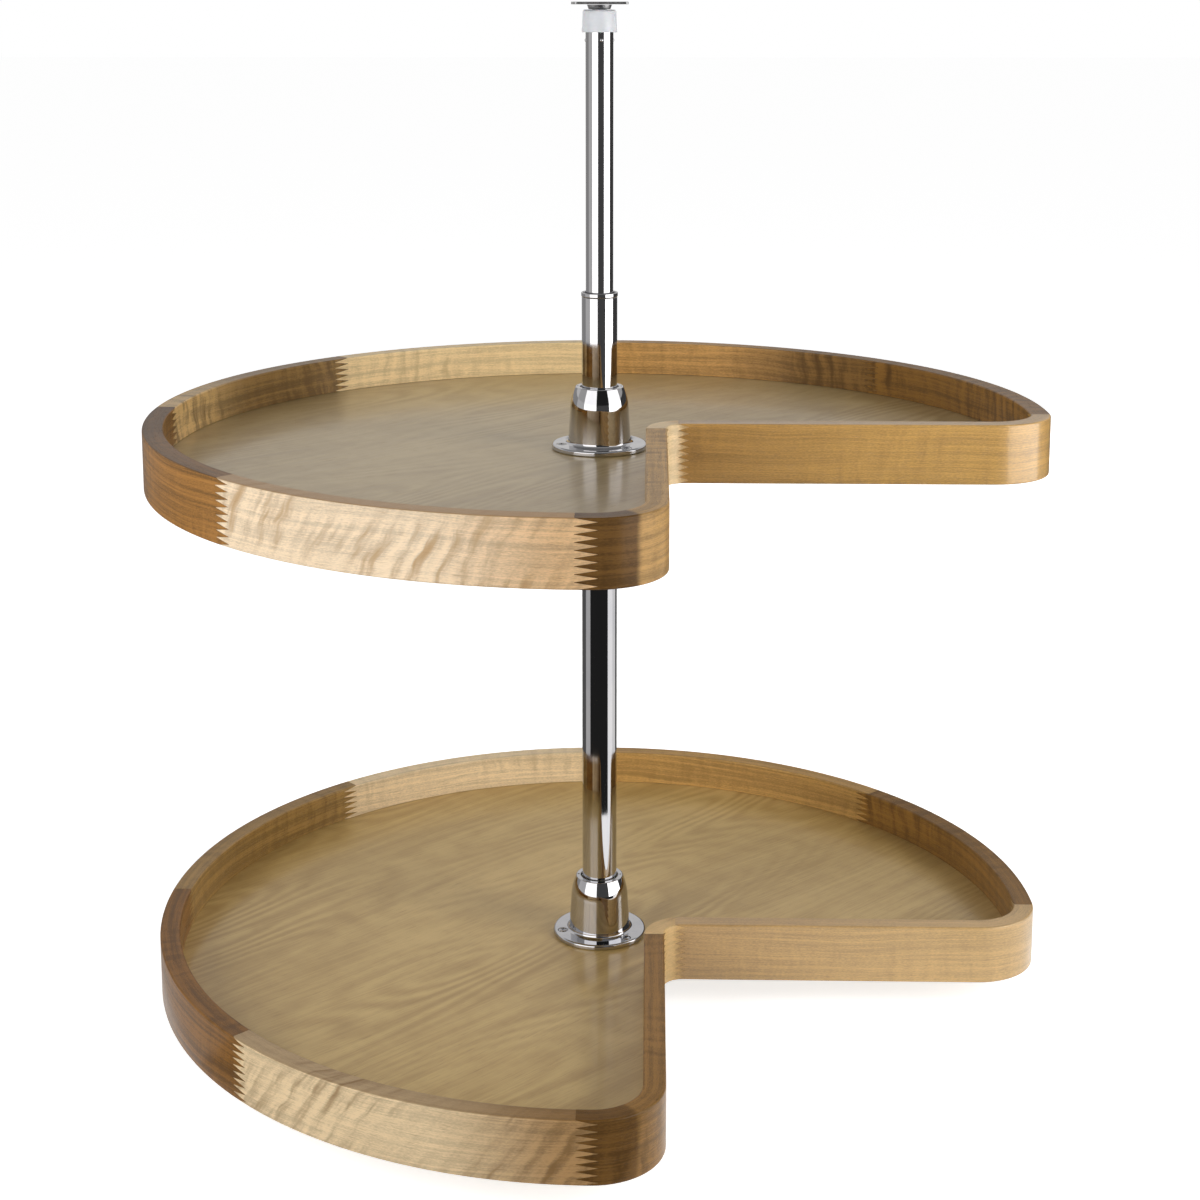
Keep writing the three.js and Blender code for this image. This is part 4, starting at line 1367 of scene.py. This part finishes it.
@dataclass
class Pole:
    """Telescoping pole from the floor plate to the top plate."""

    palette: Palette
    seat: float = 0.3
    outer: float = 14.0
    outer_wall: float = 1.2
    inner: float = 10.75
    inner_wall: float = 1.1
    tube_bottom: float = 7.1
    tube_top: float = 573.2
    mouth_top: float = 577.0
    top: float = 802.0
    overlap: float = 171.0
    bump_radius: float = 1.5
    bump_height: float = 0.8
    plate_thickness: float = 2.0
    neck_height: float = 3.4
    cap_height: float = 17.2
    cap_floor: float = 5.0
    bolt_radius: float = 2.4
    foot_bolt_place: float = 27.0
    head_bolt_place: float = 13.5

    @property
    def cap_top(self) -> float:
        """Height of the cap's top."""
        return self.top - self.plate_thickness - self.neck_height - 2 * self.seat

    def build(self) -> None:
        """Makes and dresses every piece of the pole."""
        self.foot()
        self.tubes()
        self.lock()
        self.head()

    def _piece(self, name: str, mesh: Mesh, metal: Metal, body: str, node: str) -> None:
        """Dresses a piece of the pole."""
        finish_piece(name, mesh, self.palette.hard[metal], body, [node])

    def _bolt_holes(self, place: float, bottom: float, top: float) -> List[Tuple[Carve, Mesh]]:
        """Cutters of the four holes of a plate.

        Args:
            place: Way of each hole from the pole, along X and along Y.
            bottom: Height of the cutters' lower ends.
            top: Height of their upper ends.

        Returns:
            The cutters.
        """
        return [(Carve.CUT, moved(rod(self.bolt_radius, bottom, top), by=(x * place, y * place, 0)))
                for x in (-1, 1) for y in (-1, 1)]

    def foot(self) -> None:
        """Floor plate with its stud, and the nylon bush that turns on it."""
        plate = square_plate(76, 7, 0, 3, 0.5)
        stud = turned([(0, 1.5), (7.5, 1.5), (7.5, 23), (6.5, 24), (0, 24)], 0.3, 64)
        weld = turned([(0, 1.6), (9.4, 1.6), (9.4, 3.1), (8.3, 3.9), (7.4, 5.2), (0, 5.2)], 0.3, 64)
        holes = self._bolt_holes(self.foot_bolt_place, -1, 5)
        tools = [(Carve.JOIN, stud), (Carve.JOIN, weld), *holes]
        self._piece("pivot_plate", carved(plate, tools), Metal.ZINC, "base", "floor_plate")
        bush = turned([(0, 24.3), (7.8, 24.3), (7.8, 3.3), (15.6, 3.3), (15.6, 6.8), (12.5, 6.8),
                       (12.5, 26.3), (0, 26.3)], 0.35, 72)
        self._piece("pivot_bush", bush, Metal.NATURAL_NYLON, "pole", "foot_bush")

    def tubes(self) -> None:
        """Outer tube with its mouth ring and guide, and the inner tube with its bumps."""
        bore = self.outer - self.outer_wall
        tube = turned([(bore, self.tube_bottom), (self.outer, self.tube_bottom),
                       (self.outer, self.tube_top), (bore, self.tube_top)], 0.3, 128)
        self._piece("lower_pole_tube", tube, Metal.CHROME, "pole", "outer_tube")
        clear = self.inner + self.seat
        low = self.tube_top + self.seat
        lip = turned([(bore, low), (self.outer + 0.4, low), (self.outer + 0.4, self.mouth_top),
                      (bore, self.mouth_top)], 0.7, 128)
        self._piece("tube_mouth_ring", lip, Metal.CHROME, "pole", "mouth_ring")
        guide = turned([(clear, self.tube_top - 24), (bore - self.seat, self.tube_top - 24),
                        (bore - self.seat, self.tube_top), (clear, self.tube_top)], 0.3, 72)
        self._piece("tube_guide", guide, Metal.BLACK_NYLON, "pole", "guide_bush")
        self._inner_tube()

    def _inner_tube(self) -> None:
        """Inner tube with four swaged bumps below the cap."""
        bottom = self.mouth_top - self.overlap - self.seat
        top = self.cap_top - self.cap_floor - self.seat
        bore = self.inner - self.inner_wall
        stock = turned([(0, bottom), (self.inner, bottom), (self.inner, top), (0, top)], 0.3, 128)
        level = self.cap_top - self.cap_height - 6
        radius = self.bump_radius
        out = self.inner + self.bump_height - radius
        tools = []
        for angle in (10, 100, 190, 280):
            ball = bmesh.new()
            bmesh.ops.create_icosphere(ball, subdivisions=3, radius=radius)
            turn = math.radians(angle)
            place = (out * math.cos(turn), out * math.sin(turn), level)
            bmesh.ops.translate(ball, verts=ball.verts[:], vec=place)
            tools.append((Carve.JOIN, ball))
        wide = bore + 0.3
        core = turned([(0, bottom - 1), (wide, bottom - 1), (wide, bottom), (bore, bottom + 0.3),
                       (bore, top - 0.3), (wide, top), (wide, top + 1), (0, top + 1)], 0, 128)
        tools.append((Carve.CUT, core))
        self._piece("upper_pole_tube", carved(stock, tools), Metal.CHROME, "mast", "inner_tube")

    def lock(self) -> None:
        """Tapered core and split sleeve of the twist lock inside the tubes."""
        core_top = self.mouth_top - self.overlap - 2 * self.seat
        sleeve_top = core_top - 3 - self.seat
        sleeve_low = sleeve_top - 26.4

        def taper(height: float) -> float:
            """Radius of the core at a height."""
            return 5.5 + 2.7 * (height - sleeve_low) / (sleeve_top + self.seat - sleeve_low)

        head = sleeve_low - self.seat
        rim = core_top - 3
        core = turned([(0, core_top + 18), (9.35, core_top + 18), (9.35, core_top),
                       (self.inner, core_top), (self.inner, rim), (taper(rim), rim),
                       (taper(head), head), (9, head), (9, head - 3), (0, head - 3)], 0.3, 64)
        self._piece("twist_core", core, Metal.ZINC, "mast", "lock_core")
        bore = self.outer - self.outer_wall - self.seat
        sleeve = turned([(taper(sleeve_low) + 0.3, sleeve_low), (bore - 0.8, sleeve_low),
                         (bore, sleeve_low + 1.5), (bore, sleeve_top - 1.5),
                         (bore - 0.8, sleeve_top), (taper(sleeve_top) + 0.3, sleeve_top)],
                        0.25, 72, arc=348, start=6)
        self._piece("split_sleeve", sleeve, Metal.NATURAL_NYLON, "lock_sleeve", "lock_sleeve")

    def head(self) -> None:
        """White cap, spindle with its clip, and the square top plate."""
        top = self.cap_top
        low = top - self.cap_height
        bore = self.inner + self.seat
        under = top - self.cap_floor
        cap = turned([(bore, low), (13.65, low), (13.65, low + 2.2), (13.3, low + 4.4),
                      (12.95, top - 1.2), (11.9, top), (6.2, top), (6.2, under), (bore, under)],
                     0.4, 96)
        self._piece("white_cap", cap, Metal.WHITE_NYLON, "mast", "top_cap")
        neck_top = self.top - self.plate_thickness - self.seat
        foot = neck_top - self.neck_height
        groove = under - self.seat
        low = foot - 14
        spindle = turned([(0, neck_top), (9.6, neck_top), (8.4, foot), (5.9, foot), (5.9, groove),
                          (4.8, groove), (4.8, groove - 1.5), (5.9, groove - 1.5), (5.9, low + 0.8),
                          (5.1, low), (0, low)], 0.2, 72)
        self._piece("plate_spindle", spindle, Metal.ZINC, "top_bracket", "top_spindle")
        high = groove - 0.15
        low = high - 1.2
        clip = turned([(5.1, low), (8.3, low), (8.3, high), (5.1, high)], 0.2, 72, arc=325,
                      start=17.5)
        self._piece("retaining_clip", clip, Metal.BLACK, "top_bracket", "spindle_clip")
        plate = square_plate(42, 2.5, self.top - self.plate_thickness, self.top, 0.35)
        holes = self._bolt_holes(self.head_bolt_place, self.top - 5, self.top + 5)
        plate = moved(carved(plate, holes), turn=5)
        self._piece("ceiling_plate", plate, Metal.ZINC, "top_bracket", "top_plate")


# -------------------- studio


class Card(Enum):
    """Sectors of the set that only mirrors see: first and last bearing, ground, wall and high part.

    A bearing is seen from the pole in degrees, with 0 towards the camera and positive to its
    right. The other numbers are levels of light.
    """

    LEFT_BACK = (-180.0, -100.0, 0.12, 0.34, 0.72)
    LEFT = (-100.0, -62.0, 0.60, 0.62, 0.50)
    LEFT_FRONT = (-62.0, -11.0, 0.02, 2.2, 1.8)
    FRONT = (-11.0, 40.0, 0.02, 0.08, 0.02)
    FRONT_EDGE = (40.0, 58.0, 0.02, 3.6, 2.0)
    RIGHT_FRONT = (58.0, 97.0, 1.3, 3.4, 2.0)
    RIGHT = (97.0, 128.0, 1.0, 0.06, 0.50)
    RIGHT_BACK = (128.0, 180.0, 0.12, 0.06, 0.72)


@dataclass
class Studio:
    """Floor, cards, lamps, world and camera."""

    focal: float = 2112.0
    shift: float = -0.2
    distance: float = 1.6466
    height: float = 0.8014
    tilt: float = 9.61
    azimuth: float = 1.36
    sideways: float = 0.0004
    daylight: float = 0.40
    card_foot: float = 380.0
    card_reach: float = 1900.0
    card_level: float = 800.0
    card_top: float = 1800.0
    roof_level: float = 0.3
    floor_reach: float = 30000.0

    def build(self) -> None:
        """Sets everything up."""
        self.floor()
        for card in Card:
            self.card(card)
        self.lamps()
        self.world()
        self.camera()

    def floor(self) -> None:
        """Wide pale floor."""
        mesh = bmesh.new()
        bmesh.ops.create_grid(mesh, x_segments=1, y_segments=1, size=self.floor_reach)
        floor = as_object("studio_floor", mesh)
        floor.data.materials.append(PaleFloor().make())

    def card(self, card: Card) -> None:
        """One sector of the set: over the ground, up the wall and over the top.

        Args:
            card: The sector.
        """
        first, last, ground, wall, high = card.value
        reach = self.card_reach
        bands = ((((self.card_foot, 3.0), (reach, 3.0)), ground),
                 (((reach, 3.0), (reach, self.card_level)), wall),
                 (((reach, self.card_level), (reach, self.card_top)), high),
                 (((reach, self.card_top), (10.0, self.card_top)), self.roof_level))
        for number, (outline, level) in enumerate(bands):
            mesh = bmesh.new()
            verts = [mesh.verts.new((0, -radius, height)) for radius, height in outline]
            edge = mesh.edges.new(verts)
            turn = Matrix.Rotation(math.radians(first), 3, "Z")
            bmesh.ops.rotate(mesh, verts=verts, cent=(0, 0, 0), matrix=turn)
            bmesh.ops.spin(mesh, geom=[*verts, edge], cent=(0, 0, 0), axis=Z_AXIS,
                           angle=math.radians(last - first),
                           steps=max(4, round((last - first) / 4)),
                           use_merge=False, use_duplicate=False)
            name = f"card_{card.name.lower()}_{number}"
            panel = as_object(name, mesh)
            panel.data.materials.append(Glow(f"{name}_glow", level).make())
            for ray in ("camera", "diffuse", "transmission", "shadow"):
                setattr(panel, f"visible_{ray}", False)

    @staticmethod
    def _lamp(name: str, place: Point3, aim: Point3, size: float, watts: float) -> None:
        """Adds a soft square lamp.

        Args:
            name: Its name.
            place: Where it hangs, in metres.
            aim: The point that it faces.
            size: Side length in metres.
            watts: Its power.
        """
        data = bpy.data.lights.new(name, "AREA")
        data.shape = "SQUARE"
        data.size = size
        data.energy = watts
        lamp = bpy.data.objects.new(name, data)
        lamp.location = place
        lamp.rotation_euler = (Vector(aim) - Vector(place)).to_track_quat("-Z", "Y").to_euler()
        bpy.context.scene.collection.objects.link(lamp)
        lamp.visible_camera = False
        lamp.visible_glossy = False

    def lamps(self) -> None:
        """Key lamp at the left of the camera, a side lamp at the right and a weak one behind."""
        self._lamp("key_lamp", (-1.92, -1.50, 1.24), (0, 0, 0.35), 1.6, 34)
        self._lamp("side_lamp", (2.02, -1.07, 1.15), (0, 0, 0.35), 1.1, 32)
        self._lamp("back_lamp", (0.6, 2.3, 1.05), (0, 0, 0.35), 1.6, 16)

    def world(self) -> None:
        """White to the camera and to mirrors, and a plain level of light otherwise."""
        world = bpy.data.worlds.new("studio")
        world.use_nodes = True
        bpy.context.scene.world = world
        graph = Graph(world.node_tree)
        up = graph.split(graph.node("ShaderNodeTexCoord").outputs["Generated"])[2]
        sky = self.daylight * (1.15 - 0.55 * up.fade(0.0, 1.0))
        strength = sky + (1.0 - sky) * graph.seen()
        light = graph.node("ShaderNodeBackground", sockets={"Color": WHITE, "Strength": strength})
        graph.node("ShaderNodeOutputWorld", sockets={"Surface": light.outputs[0]})

    def camera(self) -> None:
        """Camera at the photograph's place, with its shift."""
        data = bpy.data.cameras.new("camera")
        data.sensor_fit = "HORIZONTAL"
        data.sensor_width = 36
        data.lens = self.focal / IMAGE_SIZE * data.sensor_width
        data.shift_y = self.shift
        data.clip_start = 0.05
        data.clip_end = 100
        camera = bpy.data.objects.new("camera", data)
        turn = Matrix.Rotation(math.radians(self.azimuth), 4, "Z")
        place = Matrix.Translation((self.sideways, -self.distance, self.height))
        look = Matrix.Rotation(math.radians(90 - self.tilt), 4, "X")
        camera.matrix_world = turn @ place @ look
        bpy.context.scene.collection.objects.link(camera)
        bpy.context.scene.camera = camera


def main() -> None:
    """Builds the whole scene."""
    logging.basicConfig(level=logging.INFO, format="%(name)s %(message)s")
    bpy.context.scene.view_settings.view_transform = "Standard"
    palette = Palette()
    Studio().build()
    Pole(palette).build()
    Tray("lower", 43.0, palette, LOWER_BOARDS, LOWER_VENEER).build()
    Tray("upper", 452.0, palette, UPPER_BOARDS, UPPER_VENEER).build()


if __name__ == "__main__":
    main()
